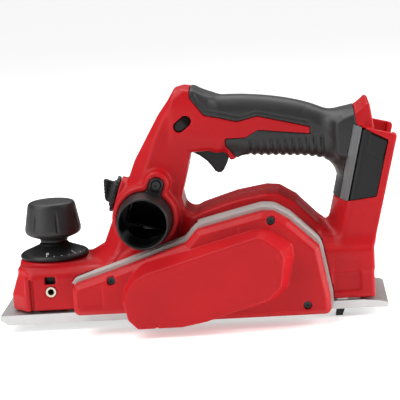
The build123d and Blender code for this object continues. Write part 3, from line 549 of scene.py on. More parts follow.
MATERIALS = {
    "red_housing": moulded("red_housing", (0.45, 0.0065, 0.0105), (0.52, 0.024, 0.03), 0.42, 950, 0.05, 0.2),
    "black_rubber": moulded("black_rubber", (0.0125, 0.0125, 0.013), (0.035, 0.035, 0.036), 0.5, 1300, 0.08),
    "black_plastic": moulded("black_plastic", (0.009, 0.009, 0.0095), (0.03, 0.03, 0.032), 0.42, 1100,
                             0.05, 0.3),
    "grey_plastic": moulded("grey_plastic", (0.135, 0.138, 0.142), (0.2, 0.2, 0.21), 0.45, 1000, 0.05, 0.3),
    "cast_aluminium": metal("cast_aluminium", (0.50, 0.50, 0.475), 0.5, scale=900, depth=0.05, metallic=0.2),
    "shoe_aluminium": metal("shoe_aluminium", (0.62, 0.625, 0.62), 0.4, grain=(0.06, 1, 1), scale=1500,
                            depth=0.02, metallic=0.7),
    "steel": metal("steel", (0.60, 0.60, 0.61), 0.28, grain=(1, 0.1, 1), scale=900),
    "black_steel": metal("black_steel", (0.035, 0.035, 0.038), 0.38, scale=900, metallic=0.6),
    "spring_steel": metal("spring_steel", (0.5, 0.5, 0.52), 0.3, scale=700),
    "brass": metal("brass", (0.62, 0.55, 0.45), 0.34, scale=700),
    "copper": metal("copper", (0.75, 0.42, 0.25), 0.3, scale=700),
    "carbon": moulded("carbon", (0.05, 0.05, 0.05), (0.09, 0.09, 0.09), 0.6, 1500, 0.05),
    "magnet": metal("magnet", (0.10, 0.10, 0.11), 0.5, scale=800, metallic=0.7),
    "belt_rubber": moulded("belt_rubber", (0.018, 0.018, 0.018), (0.04, 0.04, 0.04), 0.6, 1200, 0.06),
    "board_green": moulded("board_green", (0.02, 0.18, 0.07), (0.1, 0.3, 0.15), 0.35, 700, 0.03),
    "dial_white": moulded("dial_white", (0.78, 0.78, 0.76), (0.85, 0.85, 0.83), 0.5, 1200, 0.02),
}


# ---- housing ----
def port_outline(u, v, extra, fillet=2.5):
    """The port's ring with a narrow tab for its screw."""
    tab = tapered(u, v, EAR, EAR_ROOT, EAR_RADIUS + extra, EAR_RADIUS + extra - 0.001)
    return join(circle(u, v, PORT, PORT_OUTER + extra), tab, fillet)


def along_selector(x, y, z):
    """Distance along the selector's axis, and away from it."""
    dx, dz = x - SELECTOR[0], z - SELECTOR[2]
    along = dx * SELECTOR_OUT[0] + dz * SELECTOR_OUT[2]
    across = dx * SELECTOR_OUT[2] - dz * SELECTOR_OUT[0]
    return along, np.hypot(across, y)


def receptacle(x, s, z):
    """The battery's channel, undercut behind its two rails."""
    along = (REAR_HIGH - REAR_LOW) / np.linalg.norm(REAR_HIGH - REAR_LOW)
    out = np.array([along[1], -along[0]])
    foot, head = REAR_LOW + along * 22, REAR_HIGH + along * 30

    def band(inner, outer, half):
        """A block across the channel, between two distances from the rear line."""
        corners = [foot + out * outer, head + out * outer, head + out * inner, foot + out * inner]
        return solid(polygon(corners)(x, z), s - half, 0.5)

    return np.minimum(band(-18, -4, 31), band(-5, 4, 26))


HANDLE = [flowing(HANDLE_X, v) for v in (HANDLE_LOW, HANDLE_HIGH, HANDLE_HALF)]


def handle_bar(x, s, z):
    """The handle, rounded in section. s is the distance from the tool's middle plane."""
    bottom, top, half = (curve(x) for curve in HANDLE)
    round_off = 13.0
    across = s - (half - round_off)
    upright = np.abs(z - (bottom + top) / 2) - ((top - bottom) / 2 - round_off)
    corner = np.hypot(np.maximum(across, 0), np.maximum(upright, 0))
    section = corner + np.minimum(np.maximum(across, upright), 0) - round_off
    return meet(section, between(x, HANDLE_X[0], HANDLE_X[-1]), 3)


def front_base(x, s, z):
    """The nose under the knob, with its cut corners, shoulder and bumper ridge."""
    lean = 0.356 * np.clip(z - 22, 0, 16)
    nose = -(x + 143.2 - lean)
    corner = 0.7475 * (-(x + 143.2) + lean) + 0.6645 * (s - 26)
    shoulder = 0.697 * (s - BASE_HALF) + 0.716 * (z - 38)
    body = meet(meet(nose, corner, 2), s - BASE_HALF, 2)
    body = meet(meet(body, shoulder, 2.5), z - 43.6, 3)
    body = meet(meet(body, 10 - z, 1), x + 62)
    seat = solid(circle(x, s, (KNOB[0], 0), 27.2), between(z, 20, 45.8), 1.5)
    body = join(body, seat, 4)
    groove = solid(between(x, -126.4, -124.2), np.maximum(between(z, 5, 34.5), BASE_HALF - 1.6 - s), 0.3)
    ridge = solid(between(x, -130.6, -126.6), np.maximum(between(z, 10, 35.5), s - BASE_HALF - 0.6), 0.9)
    ridge = np.maximum(ridge, 30 - s)
    return carve(join(body, ridge, 1.5), groove, 0.8)


def rear_base(x, s, z):
    """The foot under the post, with a recess in its side."""
    block = solid(polygon([(104, 7.5), (145, 7.5), (145.4, 48), (104, 49)], 1)(x, z), s - 40.5, 3.5)
    recess = solid(between(x, 112, 134.5), np.maximum(between(z, 14, 41), 38.9 - s), 2)
    shoulder = meet(0.6 * (z - 50) + 0.8 * (s - 37.5), solid(between(x, 104, 145), between(z, 30, 57), 2), 3)
    shoulder = meet(shoulder, s - 40.5, 1.5)
    return join(carve(block, recess, 1.6), shoulder, 3)


def post(x, s, z):
    """The battery post, its front flank cut back."""
    body = solid(polygon(POST, 2)(x, z), s - POST_HALF, 1.6)
    front = 0.94 * polygon(POST_SIDE)(x, z) + 0.342 * (s - POST_HALF)
    return meet(body, front, 5)


def arm(x, s, z):
    """The arm from the nose up to the handle, its front flank cut back."""
    half = ARM_HALF - 3.6 * np.clip((x + 2) / 26, 0, 1) ** 2
    body = solid(polygon(ARM, 3)(x, z), s - half, 4)
    front = 0.74 * polygon(ARM_SIDE)(x, z) + 0.67 * (s - ARM_HALF)
    return meet(body, front, 2.2)


def whole_body(x, y, z):
    """The outside of both shells and the soft grip together."""
    s = np.abs(y)
    hump = solid(polygon(HUMP, 5)(x, z), s - HUMP_HALF, 3)
    low_hump = solid(polygon(HUMP_LOW, 4)(x, z), between(y, -HUMP_HALF, RIGHT_WALL), 4)
    nose_case = solid(polygon(NOSE_CASE, 2)(x, z), between(y, NOSE_CASE_BACK, RIGHT_WALL), 4)
    base = join(front_base(x, s, z), nose_case, 9)
    body = join(join(hump, low_hump, 4), base, 5)
    limb = join(arm(x, s, z), handle_bar(x, s, z), 9)
    guard = solid(polygon(GUARD, 1)(x, z), s - 11.5, 1.5)
    limb = join(limb, guard, 4)
    tail = join(post(x, s, z), rear_base(x, s, z), 5)
    tail = join(tail, solid(polygon(HOOK, 1.5)(x, z), s - 28, 1.5), 2)
    limb = join(limb, tail, 15)
    body = join(body, limb, 11)
    boss = solid(port_outline(x, z, 4.3), s - PORT_HALF, 2.2)
    body = join(body, boss, 4)
    along, away = along_selector(x, y, z)
    return join(body, solid(away - 15.5, between(along, -18, 0), 1), 2)


def gear_case_cut(x, y, z):
    """Room for the grey gear case."""
    flat = polygon(COVER_OUTLINE, 5)(x, z) - CASE_MARGIN - 0.25
    flat = carve(flat, np.maximum(x - CASE_LEFT + 0.25, z - CASE_LEFT_TOP))
    behind_nose = np.maximum(y - NOSE_CASE_BACK + 0.25, x - 9.2)
    behind_hump = np.maximum(y + HUMP_HALF + 0.25, 8.8 - x)
    return np.maximum(flat, np.minimum(behind_nose, behind_hump))


def button_shape(x, z, radius, spread):
    """The lock-off button's tilted oval."""
    tilt = np.array([math.cos(BUTTON_TILT), math.sin(BUTTON_TILT)]) * spread
    centre = BUTTON[[0, 2]]
    return tapered(x, z, centre - tilt, centre + tilt, radius, radius - 0.001)


def working_space(x, y, z):
    """What is hollow inside the shells."""
    s = np.abs(y)
    drum = circle(x, z, DRUM[[0, 2]], CHAMBER_RADIUS)
    below = np.maximum(between(x, DRUM[0] - CHAMBER_RADIUS, DRUM[0] + CHAMBER_RADIUS), z - DRUM[2])
    chamber = np.maximum(np.minimum(drum, below), y - 45)
    throat = solid(polygon(THROAT)(x, z), s - 20)
    motor_bay = np.maximum(circle(x, z, MOTOR[[0, 2]], 31), y - RIGHT_WALL + 3)
    loft = solid(polygon(MOTOR_LOFT)(x, z), between(y, -23, 22))
    nose_bay = np.maximum(np.maximum(between(x, -127, -72), s - 31), z - 38.5)
    tail_bay = np.maximum(np.maximum(between(x, 104, 138), s - 35), z - 42)
    floor = np.maximum(between(x, -9, 113), z - 7.5)
    shoe_space = np.maximum(x + 20, z - 10)
    grip_bay = solid(polygon(GRIP_BAY)(x, z), s - 10)
    space = np.minimum(chamber, throat)
    for hollow in (motor_bay, loft, nose_bay, tail_bay, floor, shoe_space, grip_bay):
        space = np.minimum(space, hollow)
    along, away = along_selector(x, y, z)
    space = np.minimum(space, solid(away - BAY_RADIUS, between(along, -45, -12)))
    space = np.minimum(space, np.maximum(circle(x, z, PORT, DUCT_RADIUS), 12 - s))
    pocket = solid(polygon(TRIGGER_POCKET)(x, z), s - 8.5)
    return np.minimum(np.minimum(space, pocket), receptacle(x, s, z))


def fittings(x, y, z):
    """Holes and recesses that show on the outside."""
    s = np.abs(y)
    port_seat = np.maximum(port_outline(x, z, 0.25), PORT_HALF - FLANGE_DEPTH - s)
    button = button_shape(x, z, 4.5, 3.25)
    insert = np.maximum(circle(x, z, FENCE[[0, 2]], 4.3), BASE_HALF - 13 - s)
    slot = solid(np.abs(x - FENCE[0]) - SLOT_HALF[0], np.abs(z - SLOT_Z) - SLOT_HALF[1], 0.5)
    slot = np.maximum(slot, BASE_HALF - 6 - s)
    cut = np.minimum(np.minimum(port_seat, button), np.minimum(insert, slot))
    for i in range(VENTS):
        off = i - VENTS // 2
        reach = 15 - off ** 2
        centre = MOTOR[0] + VENT_PITCH * off
        vent = tapered(x, z, (centre, MOTOR[2] - reach), (centre, MOTOR[2] + reach), 2, 1.999)
        cut = np.minimum(cut, np.maximum(vent, 35 - y))
    for centre in HOUSING_SCREWS:
        cut = np.minimum(cut, np.maximum(circle(x, z, centre, SCREW_RADIUS), 8 - y))
    return cut


def dark_walls(x, y, z):
    """True on the walls seen through the ports, and on the fence slot's: these walls lie in shadow and are
    given black plastic as painted shade.
    """
    along, away = along_selector(x, y, z)
    bay = (away < BAY_RADIUS + 0.4) & (along > -45.4) & (along < -11.6)
    duct = circle(x, z, PORT, DUCT_RADIUS + 0.4) < 0
    throat = (polygon(THROAT)(x, z) < 0.4) & (np.abs(y) < 20.4)
    in_slot = (np.abs(x - FENCE[0]) < SLOT_HALF[0] + 0.2) & (np.abs(z - SLOT_Z) < SLOT_HALF[1] + 0.2)
    return bay | duct | throat | (in_slot & (np.abs(y) < BASE_HALF - 0.9))


def grip_zone(x, z):
    """Where the soft grip covers the side view."""
    return polygon(GRIP_REGION)(x, z)


def strip_zone(x, z):
    """Where the grey strip lies on the post's side."""
    return polygon(SIDE_STRIP, 0.4)(x, z)


def panel_zone(x, z):
    """Where the black panel lies on the post's side."""
    return polygon(SIDE_PANEL, 1.2)(x, z)


def housing_half(side):
    """The field of the shell on one side."""

    def field(x, y, z):
        body = whole_body(x, y, z)
        skin_seat = np.maximum(grip_zone(x, z) - 0.15, -body - 2.1)
        shell = carve(body, skin_seat, 0.7)
        strip_seat = np.maximum(np.maximum(strip_zone(x, z), 20 - np.abs(y)) - 0.1, -body - 1.6)
        panel_seat = np.maximum(np.maximum(panel_zone(x, z), 20 - np.abs(y)) - 0.1, -body - 3)
        shell = carve(shell, np.minimum(strip_seat, panel_seat), 0.4)
        shell = carve(shell, gear_case_cut(x, y, z), 0.6)
        shell = carve(shell, fittings(x, y, z), 0.8)
        shell = carve(shell, working_space(x, y, z), 0.6)
        return meet(shell, 0.1 - side * y, 0.9)

    return field


def grip_half(side):
    """The field of the soft grip on one side, with its groove, crease and ribs."""
    seam = polyline(GRIP_LINE)
    crease = polyline(GRIP_CREASE)

    def field(x, y, z):
        s = np.abs(y)
        body = whole_body(x, y, z)
        line = 0.55 * np.exp(-(seam(x, z) / 0.8) ** 2) + 0.16 * np.exp(-(crease(x, z) / 1.6) ** 2)
        under = np.clip((137 - z) / 4, 0, 1) * np.clip((x - 50) / 3, 0, 1) * np.clip((115 - x) / 4, 0, 1)
        rib = 0.5 + 0.5 * np.cos((x - 53) * (2 * math.pi / RIB_PITCH))
        skin = body - GRIP_PROUD + line * np.clip(s - 4, 0, 1) + 1.3 * rib ** 2 * under
        skin = np.maximum(skin, -body - 2)
        skin = meet(skin, grip_zone(x, z), 0.9)
        skin = carve(skin, solid(polygon(TRIGGER_POCKET)(x, z), s - 8.5))
        skin = carve(skin, receptacle(x, s, z))
        skin = carve(skin, np.maximum(strip_zone(x, z) - 0.1, 20 - s))
        return meet(skin, 0.1 - side * y, 0.6)

    return field


def side_trim(zone, proud, depth):
    """A thin inlay that follows the post's side: how far it stands proud, and how deep it goes."""

    def field(x, y, z):
        body = whole_body(x, y, z)
        face = meet(meet(body - proud, zone(x, z), 0.5), 20 - np.abs(y))
        return np.maximum(face, -body - depth)

    return field


def side_panel(x, y, z):
    """The black panel, sunk below the post's side, with its raised patch."""
    body = whole_body(x, y, z)
    raised = np.clip(-polygon(RAISED, 1.2)(x, z) / 0.8, 0, 1)
    face = meet(meet(body + 1.3 - 0.9 * raised, panel_zone(x, z), 0.5), 20 - np.abs(y))
    return np.maximum(face, -body - 2.9)


def make_side_trim():
    """The strip and the panel on both sides of the post."""
    lowest, highest = (118, 20, 82), (164, 38.5, 146)
    mirrored_low, mirrored_high = (118, -38.5, 82), (164, -20, 146)
    kinds = (("strip", side_trim(strip_zone, 0.3, 1.5), "grey_plastic", "side_strips"),
             ("panel", side_panel, "black_plastic", "side_panels"))
    for name, field, slot, cad_node in kinds:
        carved_stand_in(f"right_{name}", field, lowest, highest, TRIM_STEP, "root", slot, cad_node)
        carved_stand_in(f"left_{name}", field, mirrored_low, mirrored_high, TRIM_STEP, "root", slot, cad_node)


def make_housing():
    """Both shells, and the soft grip on each."""
    halves = (("left", -1, (-146, -42, 6), (171, 1.2, 179)), ("right", 1, (-146, -1.2, 6), (171, 43, 179)))
    for name, side, lowest, highest in halves:
        shell = carved_stand_in(f"{name}_housing", housing_half(side), lowest, highest, HOUSING_STEP,
                                "root", "red_housing", f"{name}_shell")
        # Painted shade: the walls inside the duct, bay, throat and fence slot turn black plastic where they
        # lie in shadow.
        darken_inside(shell, dark_walls, MATERIALS["black_plastic"])
        lowest, highest = (6, lowest[1], 82), (140, highest[1], 181)
        carved_stand_in(f"{name}_soft_grip", grip_half(side), lowest, highest, GRIP_STEP,
                        "root", "black_rubber", f"{name}_grip")


# ---- belt cover ----
def belt_cover(x, y, z):
    """The cover: a bevelled plate with the bulge over the pulleys, hollow behind."""
    outline = polygon(COVER_OUTLINE, 5)(x, z)
    inner = polygon(inset(COVER_OUTLINE, 4.1), 3)(x, z)
    face = solid(outline, between(y, COVER_FACE, COVER_BACK), 0.8)
    face = meet(face, (outline - (y - COVER_FACE) + 4.2) * math.sqrt(0.5), 0.9)
    rise = np.clip((COVER_FACE - y) / (COVER_FACE - BULGE_FACE), 0, 1)
    flank = polygon(BULGE_FOOT, 2)(x, z) * (1 - rise) + polygon(BULGE_TOP, 2)(x, z) * rise
    bulge = meet(flank, between(y, BULGE_FACE, COVER_FACE + 6), 1.2)
    shell = join(face, bulge, 1.2)
    hollow = np.maximum(inner, COVER_FACE + 2.5 - y)
    run = tapered(x, z, DRUM[[0, 2]], MOTOR[[0, 2]], 20.5, 16.5)
    hollow = np.minimum(hollow, np.maximum(run, BULGE_FACE + 2.5 - y))
    panel = solid(polygon(COVER_PANEL, 1)(x, z), y - COVER_FACE - 0.8, 0.4)
    plate = np.clip(-polygon(COVER_PLATE, 0.6)(x, z) / 0.9, 0, 1)
    crease = 0.35 * np.exp(-(polyline(COVER_CREASE)(x, z) / 1.4) ** 2)
    tick = 0.8 * np.exp(-(polyline(COVER_TICK)(x, z) / 0.8) ** 2)
    shell = shell + (crease + tick) * (y < BULGE_FACE + 4) + 0.35 * plate * (y < COVER_FACE + 1)
    shell = carve(shell, hollow, 0.4)
    shell = carve(shell, panel, 0.8)
    for centre in COVER_SCREWS:
        post_shape = solid(circle(x, z, centre, 4.6), between(y, COVER_FACE + 1, COVER_BACK), 0.3)
        shell = np.minimum(shell, post_shape)
        shell = carve(shell, np.maximum(circle(x, z, centre, 3.3), y - COVER_FACE - 6), 0.5)
    return shell


def make_cover():
    carved_stand_in("drive_cover", belt_cover, (-93, -84, -1.5), (113, -48, 87), COVER_STEP,
                    "root", "red_housing", "belt_cover")


# ---- lathe-turned pieces ----
def lathe(name, profile, material, segments=160, dent=None, centre=(0, 0)):
    """A profile of (radius, z) turned about Z. dent gives how far in the surface goes at (angle, z)."""
    angles = np.linspace(0, 2 * math.pi, segments, endpoint=False)
    rings = []
    for radius, z in profile:
        r = np.full(segments, float(radius))
        if dent is not None:
            r = r - dent(angles, z, radius)
        rings.append(np.stack([centre[0] + r * np.cos(angles), centre[1] + r * np.sin(angles),
                               np.full(segments, float(z))], axis=1))
    points = np.concatenate(rings)
    faces = []
    for i in range(len(profile) - 1):
        for j in range(segments):
            k = (j + 1) % segments
            a, b = i * segments, (i + 1) * segments
            faces.append((a + j, a + k, b + k, b + j))
    faces.append(tuple(range(segments))[::-1])
    last = (len(profile) - 1) * segments
    faces.append(tuple(last + j for j in range(segments)))
    return add_piece(name, points, faces, material)


def softened(points, radius=0.8, turns=5):
    """A profile with each inner corner turned into a small arc."""
    p = [np.array(q, float) for q in points]
    out = [p[0]]
    for before, here, after in zip(p[:-2], p[1:-1], p[2:]):
        a, b = before - here, after - here
        reach = min(radius, 0.45 * np.linalg.norm(a), 0.45 * np.linalg.norm(b))
        start, end = here + a / np.linalg.norm(a) * reach, here + b / np.linalg.norm(b) * reach
        for i in range(turns + 1):
            t = i / turns
            out.append((1 - t) ** 2 * start + 2 * t * (1 - t) * here + t * t * end)
    out.append(p[-1])
    return out


def filled(profile, spacing=1.0):
    """Adds points along the long runs of a profile, so that dents have somewhere to go."""
    out = [profile[0]]
    for a, b in zip(profile[:-1], profile[1:]):
        parts = max(1, int(np.linalg.norm(np.subtract(b, a)) / spacing))
        out += [np.array(a) + (np.array(b) - np.array(a)) * (i + 1) / parts for i in range(parts)]
    return out


def make_knob():
    """The knob with its flutes, and the dial under it."""
    flutes, first = 7, math.radians(-124.8)
    low_flute, high_flute = 68.5, 85.5

    def flute(angles, z, radius):
        turn = 2 * math.pi / flutes
        off = np.abs((angles - first + turn / 2) % turn - turn / 2) * radius
        upright = np.clip((z - low_flute) / 1.2, 0, 1) * np.clip((high_flute - z) / 5, 0, 1)
        return 1.1 * np.exp(-(off / 0.75) ** 2) * upright

    profile = softened([
        (0.5, 58.3), (11, 58.3), (11.2, 61), (20, 64.4), (22.4, 66.4), (22.7, 69.5), (19.3, 88.2),
        (18.2, 90.4), (15.6, 91.2), (14.8, 90.5), (0.5, 90.7),
    ], 1.6)
    knob = lathe("depth_adjust_knob", filled(profile), MATERIALS["black_rubber"], 280, flute, (KNOB[0], 0))
    stand_for(knob, "depth_setting", "depth_knob")
    profile = softened([
        (0.5, 46.35), (26.6, 46.35), (27.8, 47.2), (27.8, 48.5), DIAL_RIM, DIAL_TOP, (12.4, 56), (11, 58.1),
        (0.5, 58.1),
    ], 1.2)
    disc = lathe("depth_dial", filled(profile, 2), MATERIALS["black_plastic"], 200, None, (KNOB[0], 0))
    stand_for(disc, "depth_setting", "scale_disc")
    make_dial_marks()


def on_dial(angle, radius, height=0.06):
    """A frame on the dial's cone: its origin, and axes round, up the slope and out."""
    slope = (DIAL_TOP[1] - DIAL_RIM[1]) / (DIAL_RIM[0] - DIAL_TOP[0])
    z = DIAL_RIM[1] + (DIAL_RIM[0] - radius) * slope
    radial = Vector((math.cos(angle), math.sin(angle), 0))
    round_axis = Vector((-math.sin(angle), math.cos(angle), 0))
    up_slope = (Vector((0, 0, slope)) - radial).normalized()
    out = round_axis.cross(up_slope)
    origin = Vector((KNOB[0], 0, z)) + radial * radius + out * height
    return origin, round_axis, up_slope, out


def make_dial_marks():
    """Ticks and plain numbers round the dial, as thin raised print."""
    points, faces = [], []

    def add_box(frame_axes, width, length, thick):
        origin, across, upward, out = frame_axes
        start = len(points)
        for du in (-width / 2, width / 2):
            for dv in (0, length):
                for dw in (-thick, 0):
                    points.append(origin + across * du + upward * dv + out * dw)
        for quad in ((0, 1, 3, 2), (4, 6, 7, 5), (0, 4, 5, 1), (2, 3, 7, 6), (0, 2, 6, 4), (1, 5, 7, 3)):
            faces.append([start + i for i in quad])

    for i in range(DIAL_MARKS):
        length = 1.3 if i % MARKS_PER_NUMBER == 0 else 0.7
        add_box(on_dial(FIRST_MARK + i * MARK_SPACING, 25.4), 0.6, length, 0.1)
    ticks = add_piece("dial_ticks", points, faces, MATERIALS["dial_white"], smooth=False)
    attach(ticks, "depth_setting")
    for i in range(0, DIAL_MARKS, MARKS_PER_NUMBER):
        make_dial_number(i // MARKS_PER_NUMBER, FIRST_MARK + i * MARK_SPACING)


def make_dial_number(value, angle):
    """One plain number, laid on the dial's cone."""
    text = bpy.data.curves.new("dial_number", "FONT")
    text.body = str(value)
    text.size = 4.6 * MM
    text.extrude = 0.04 * MM
    text.align_x = "CENTER"
    shape = bpy.data.objects.new("dial_number_source", text)
    bpy.context.scene.collection.objects.link(shape)
    bpy.context.view_layer.update()
    mesh = bpy.data.meshes.new_from_object(shape)
    bpy.data.objects.remove(shape)
    origin, across, upward, out = on_dial(angle, 23.4)
    turn = Matrix((across, upward, out)).transposed().to_4x4()
    mesh.transform(Matrix.Translation(origin * MM) @ turn)
    mesh.materials.clear()
    mesh.materials.append(MATERIALS["dial_white"])
    number = bpy.data.objects.new(f"dial_number_{value}", mesh)
    bpy.context.scene.collection.objects.link(number)
    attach(number, "depth_setting")


# ---- smaller carved pieces ----
def dust_port(mouth):
    """The left port: a round tube, a flange with a tab for its screw and a black sleeve down the duct, put
    there as painted shade for the duct's shadowed inside.
    """

    def field(x, y, z):
        from_left = -y
        lean = (PORT_OUTER - PORT_LIP) * np.clip((from_left - PORT_HALF) / (mouth - PORT_HALF), 0, 1)
        tube = solid(circle(x, z, PORT, PORT_OUTER) + lean, between(from_left, 30, mouth), 0.9)
        plate = between(from_left, PORT_HALF - FLANGE_DEPTH, PORT_HALF + 0.3)
        flange = solid(port_outline(x, z, 0), plate, 0.6)
        ear = solid(circle(x, z, EAR, EAR_RADIUS - 0.3), between(from_left, 35, PORT_HALF + 1.2), 0.8)
        body = join(join(tube, flange, 1.2), ear, 1.2)
        # Painted shade: the black sleeve stands in for the shadow inside the duct.
        sleeve = solid(circle(x, z, PORT, DUCT_RADIUS - 0.2), between(from_left, 20.6, PORT_HALF), 0.3)
        body = join(body, sleeve, 0.3)
        bore = circle(x, z, PORT, PORT_INNER)
        bore = bore + (PORT_INNER - PORT_BORE) * (from_left > mouth - SOCKET_DEPTH)
        screw_seat = np.maximum(circle(x, z, EAR, 3.5), PORT_HALF - 0.4 - from_left)
        screw_hole = circle(x, z, EAR, 1.9)
        body = carve(body, bore, 1.1)
        return carve(carve(body, screw_seat, 0.4), screw_hole)

    return field


def make_ports():
    """Both ports; the right one is the left one's mirror image with a shorter mouth."""
    lowest, highest = (PORT[0] - 24, PORT[1] - 24), (PORT[0] + 24, EAR[1] + 7)
    carved_stand_in("left_port_ring", dust_port(LEFT_MOUTH), (lowest[0], -LEFT_MOUTH - 2, lowest[1]),
                    (highest[0], -19, highest[1]), PORT_STEP, "root", "black_plastic", "left_dust_port")
    right_field = dust_port(RIGHT_MOUTH)
    carved_stand_in("right_port_ring", lambda x, y, z: right_field(x, -y, z), (lowest[0], 19, lowest[1]),
                    (highest[0], RIGHT_MOUTH + 2, highest[1]), PORT_STEP, "root", "black_plastic",
                    "right_dust_port")


def selector_knob(x, y, z):
    """A knurled disc with a finger bar across it."""
    dx, dz = x - SELECTOR[0], z - SELECTOR[2]
    along = dx * SELECTOR_OUT[0] + dz * SELECTOR_OUT[2]
    across = dx * SELECTOR_OUT[2] - dz * SELECTOR_OUT[0]
    away = np.hypot(across, y)
    knurl = 0.2 * np.cos(np.arctan2(y, across) * 24)
    disc = solid(away - 14.5 + knurl * np.clip(away - 12, 0, 1), between(along, 0.6, 3.6), 0.6)
    step = solid(away - 11, between(along, 2, 5), 0.8)
    waist = 3.6 - 1.4 * np.exp(-((along - 7) / 3.0) ** 2)
    bar = solid(np.abs(y) - waist, np.abs(across - 0.8) - 8.8, 2)
    fin = solid(bar, np.maximum(3 - along, -66.3 - x), 2.4)
    ribs = 0.3 * np.cos(across * (2 * math.pi / 2.6))
    ribs = ribs * np.clip(6 - np.abs(across), 0, 1) * np.clip(along - 6, 0, 1)
    return join(join(disc, step, 0.8), fin + ribs * (np.abs(y) > 1), 1.5)


def trigger(x, y, z):
    """The trigger, dished for the finger."""
    s = np.abs(y)
    body = solid(polygon(TRIGGER, 1.2)(x, z), s - 8, 2.6)
    hollow = solid(polygon(inset(TRIGGER, 3))(x, z), s - 20, 0.5)
    dish = 0.6 * np.exp(-(s / 3.5) ** 2) * np.clip((126 - z) / 3, 0, 1)
    line = 0.35 * np.exp(-((s - 6.2) / 0.35) ** 2) * np.clip((124 - z) / 2, 0, 1) * (hollow > 0.5)
    pin = circle(x, z, TRIGGER_PIN, 2.06)
    return carve(body + dish + line, pin, 0.3)


def lock_button(x, y, z):
    """The bar through the handle, its ends cut to a slant."""
    s = np.abs(y)
    shape = solid(button_shape(x, z, 4.2, 3.2), s - BUTTON_HALF, 1.2)
    centre = BUTTON[[0, 2]]
    u = (x - centre[0]) * math.cos(BUTTON_TILT) + (z - centre[1]) * math.sin(BUTTON_TILT)
    facet = (s - BUTTON_HALF) * 0.86 + (u - 1.5) * 0.5
    return meet(shape, facet, 0.8)


def make_controls():
    carved_stand_in("chip_selector_knob", selector_knob, (-74, -16.5, 76), (-50, 16.5, 114), SMALL_STEP,
                    "chip_selector", "black_plastic", "selector_knob")
    carved_stand_in("trigger_lever", trigger, (2, -9.5, 105), (39, 9.5, 137.5), TRIM_STEP,
                    "trigger", "black_plastic", "trigger")
    reach = BUTTON_HALF + 1.5
    carved_stand_in("lock_off_bar", lock_button, (BUTTON[0] - 9, -reach, BUTTON[2] - 9),
                    (BUTTON[0] + 9, reach, BUTTON[2] + 9), SMALL_STEP,
                    "lock_off", "black_plastic", "lock_off_button")


# ---- CAD nodes that keep their own shape ----
BEVELS = {"front_shoe": 0.5, "rear_shoe": 0.5, "gear_case": 0.5, "kickstand": 0.4, "terminal_block": 0.5,
          "drum_chamber": 0.4}
DEFAULT_BEVEL = 0.15


def finish_nodes():
    """Gives every CAD node that still shows its material and a small bevel."""
    slots = {part["node"]: part["material_slot"] for part in frame["record"]["subparts"]}
    for name, piece in frame["nodes"].items():
        if piece.hide_render:
            continue
        piece.data.materials.clear()
        piece.data.materials.append(MATERIALS[slots[name]])
        bevel = piece.modifiers.new("edge", "BEVEL")
        bevel.width = BEVELS.get(name, DEFAULT_BEVEL) * MM
        bevel.segments = 2
        bevel.limit_method = "ANGLE"
        bevel.angle_limit = math.radians(35)
        bevel.harden_normals = True


# ---- stage ----
def make_stage():
    """A white floor just under the tool."""
    size = 6.0
    mesh = bpy.data.meshes.new("floor")
    corners = [(-size, -size, 0), (size, -size, 0), (size, size, 0), (-size, size, 0)]
    mesh.from_pydata(corners, [], [(0, 1, 2, 3)])
    material, _, shader = new_material("floor")
    shader.inputs["Base Color"].default_value = (0.88, 0.88, 0.88, 1)
    shader.inputs["Emission Color"].default_value = (1, 1, 1, 1)
    shader.inputs["Emission Strength"].default_value = 0.40
    shader.inputs["Roughness"].default_value = 0.9
    shader.inputs["Specular IOR Level"].default_value = 0.1
    mesh.materials.append(material)
    floor = bpy.data.objects.new("floor", mesh)
    floor.location.z = CAD_BOUNDS[0][2] - 0.0002
    bpy.context.scene.collection.objects.link(floor)


def add_sun(name, direction, strength, angle):
    light = bpy.data.lights.new(name, "SUN")
    light.energy = strength
    light.angle = math.radians(angle)
    lamp = bpy.data.objects.new(name, light)
    lamp.rotation_euler = Vector(direction).to_track_quat("-Z", "Y").to_euler()
    bpy.context.scene.collection.objects.link(lamp)


def add_softbox(name, place, target, size, strength):
    light = bpy.data.lights.new(name, "AREA")
    light.shape = "RECTANGLE"
    light.size, light.size_y = size
    light.energy = strength
    lamp = bpy.data.objects.new(name, light)
    lamp.location = place
    lamp.rotation_euler = (Vector(target) - Vector(place)).to_track_quat("-Z", "Y").to_euler()
    bpy.context.scene.collection.objects.link(lamp)


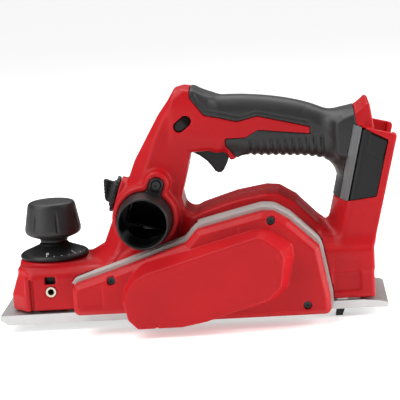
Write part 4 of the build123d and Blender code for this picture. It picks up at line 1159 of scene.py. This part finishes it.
def make_light():
    """A pale world, dimmer behind and to the right, with a soft sun and three boxes."""
    world = bpy.data.worlds.new("studio")
    bpy.context.scene.world = world
    world.use_nodes = True
    tree = world.node_tree
    background = tree.nodes["Background"]
    background.inputs["Strength"].default_value = 0.3
    direction = node(tree, "ShaderNodeSeparateXYZ")
    tree.links.new(node(tree, "ShaderNodeTexCoord").outputs["Generated"], direction.inputs["Vector"])
    sideways = ranged(tree, direction.outputs["X"], -0.7, 0.6, 1.0, 0.35)
    behind = ranged(tree, direction.outputs["Y"], -0.15, 0.5, 1.0, 0.12)
    both = node(tree, "ShaderNodeMath", operation="MULTIPLY")
    tree.links.new(sideways, both.inputs[0])
    tree.links.new(behind, both.inputs[1])
    shade = mixed(tree, both.outputs[0], (0.03, 0.03, 0.03), (1.0, 1.0, 1.0))
    tree.links.new(shade, background.inputs["Color"])
    seen = node(tree, "ShaderNodeBackground", Strength=1.0)
    ray = node(tree, "ShaderNodeLightPath")
    choose = node(tree, "ShaderNodeMixShader")
    tree.links.new(ray.outputs["Is Camera Ray"], choose.inputs["Fac"])
    tree.links.new(background.outputs["Background"], choose.inputs[1])
    tree.links.new(seen.outputs["Background"], choose.inputs[2])
    tree.links.new(choose.outputs["Shader"], tree.nodes["World Output"].inputs["Surface"])
    add_sun("key", (0.5, 0.2, -1.0), 1.75, 40)
    add_softbox("left_box", (-0.9, -0.6, 0.55), (0, 0, 0.08), (0.5, 0.9), 5.5)
    add_softbox("right_box", (1.1, -0.12, 0.35), (0.06, -0.06, 0.05), (0.3, 0.9), 12)
    add_softbox("top_box", (0.1, 0.6, 1.1), (0, 0, 0.08), (1.4, 0.8), 12)
    bpy.context.scene.view_settings.view_transform = "Standard"


def make_camera():
    """The photo's view, placed in millimetres."""
    camera = bpy.data.cameras.new("camera")
    camera.lens = 157.95
    camera.sensor_width = 36
    camera.clip_end = 50
    eye = bpy.data.objects.new("camera", camera)
    right, up, back = (0.9968, 0.0476, -0.0644), (0.0549, 0.1792, 0.9823), (0.0583, -0.9827, 0.1760)
    turn = Matrix((right, up, back)).transposed().to_4x4()
    eye.matrix_world = Matrix.Translation(Vector((92.1, -1383.0, 332.9)) * MM) @ turn
    bpy.context.scene.collection.objects.link(eye)
    bpy.context.scene.camera = eye


make_camera()
make_housing()
make_side_trim()
make_cover()
make_knob()
make_ports()
make_controls()
finish_nodes()
make_stage()
make_light()
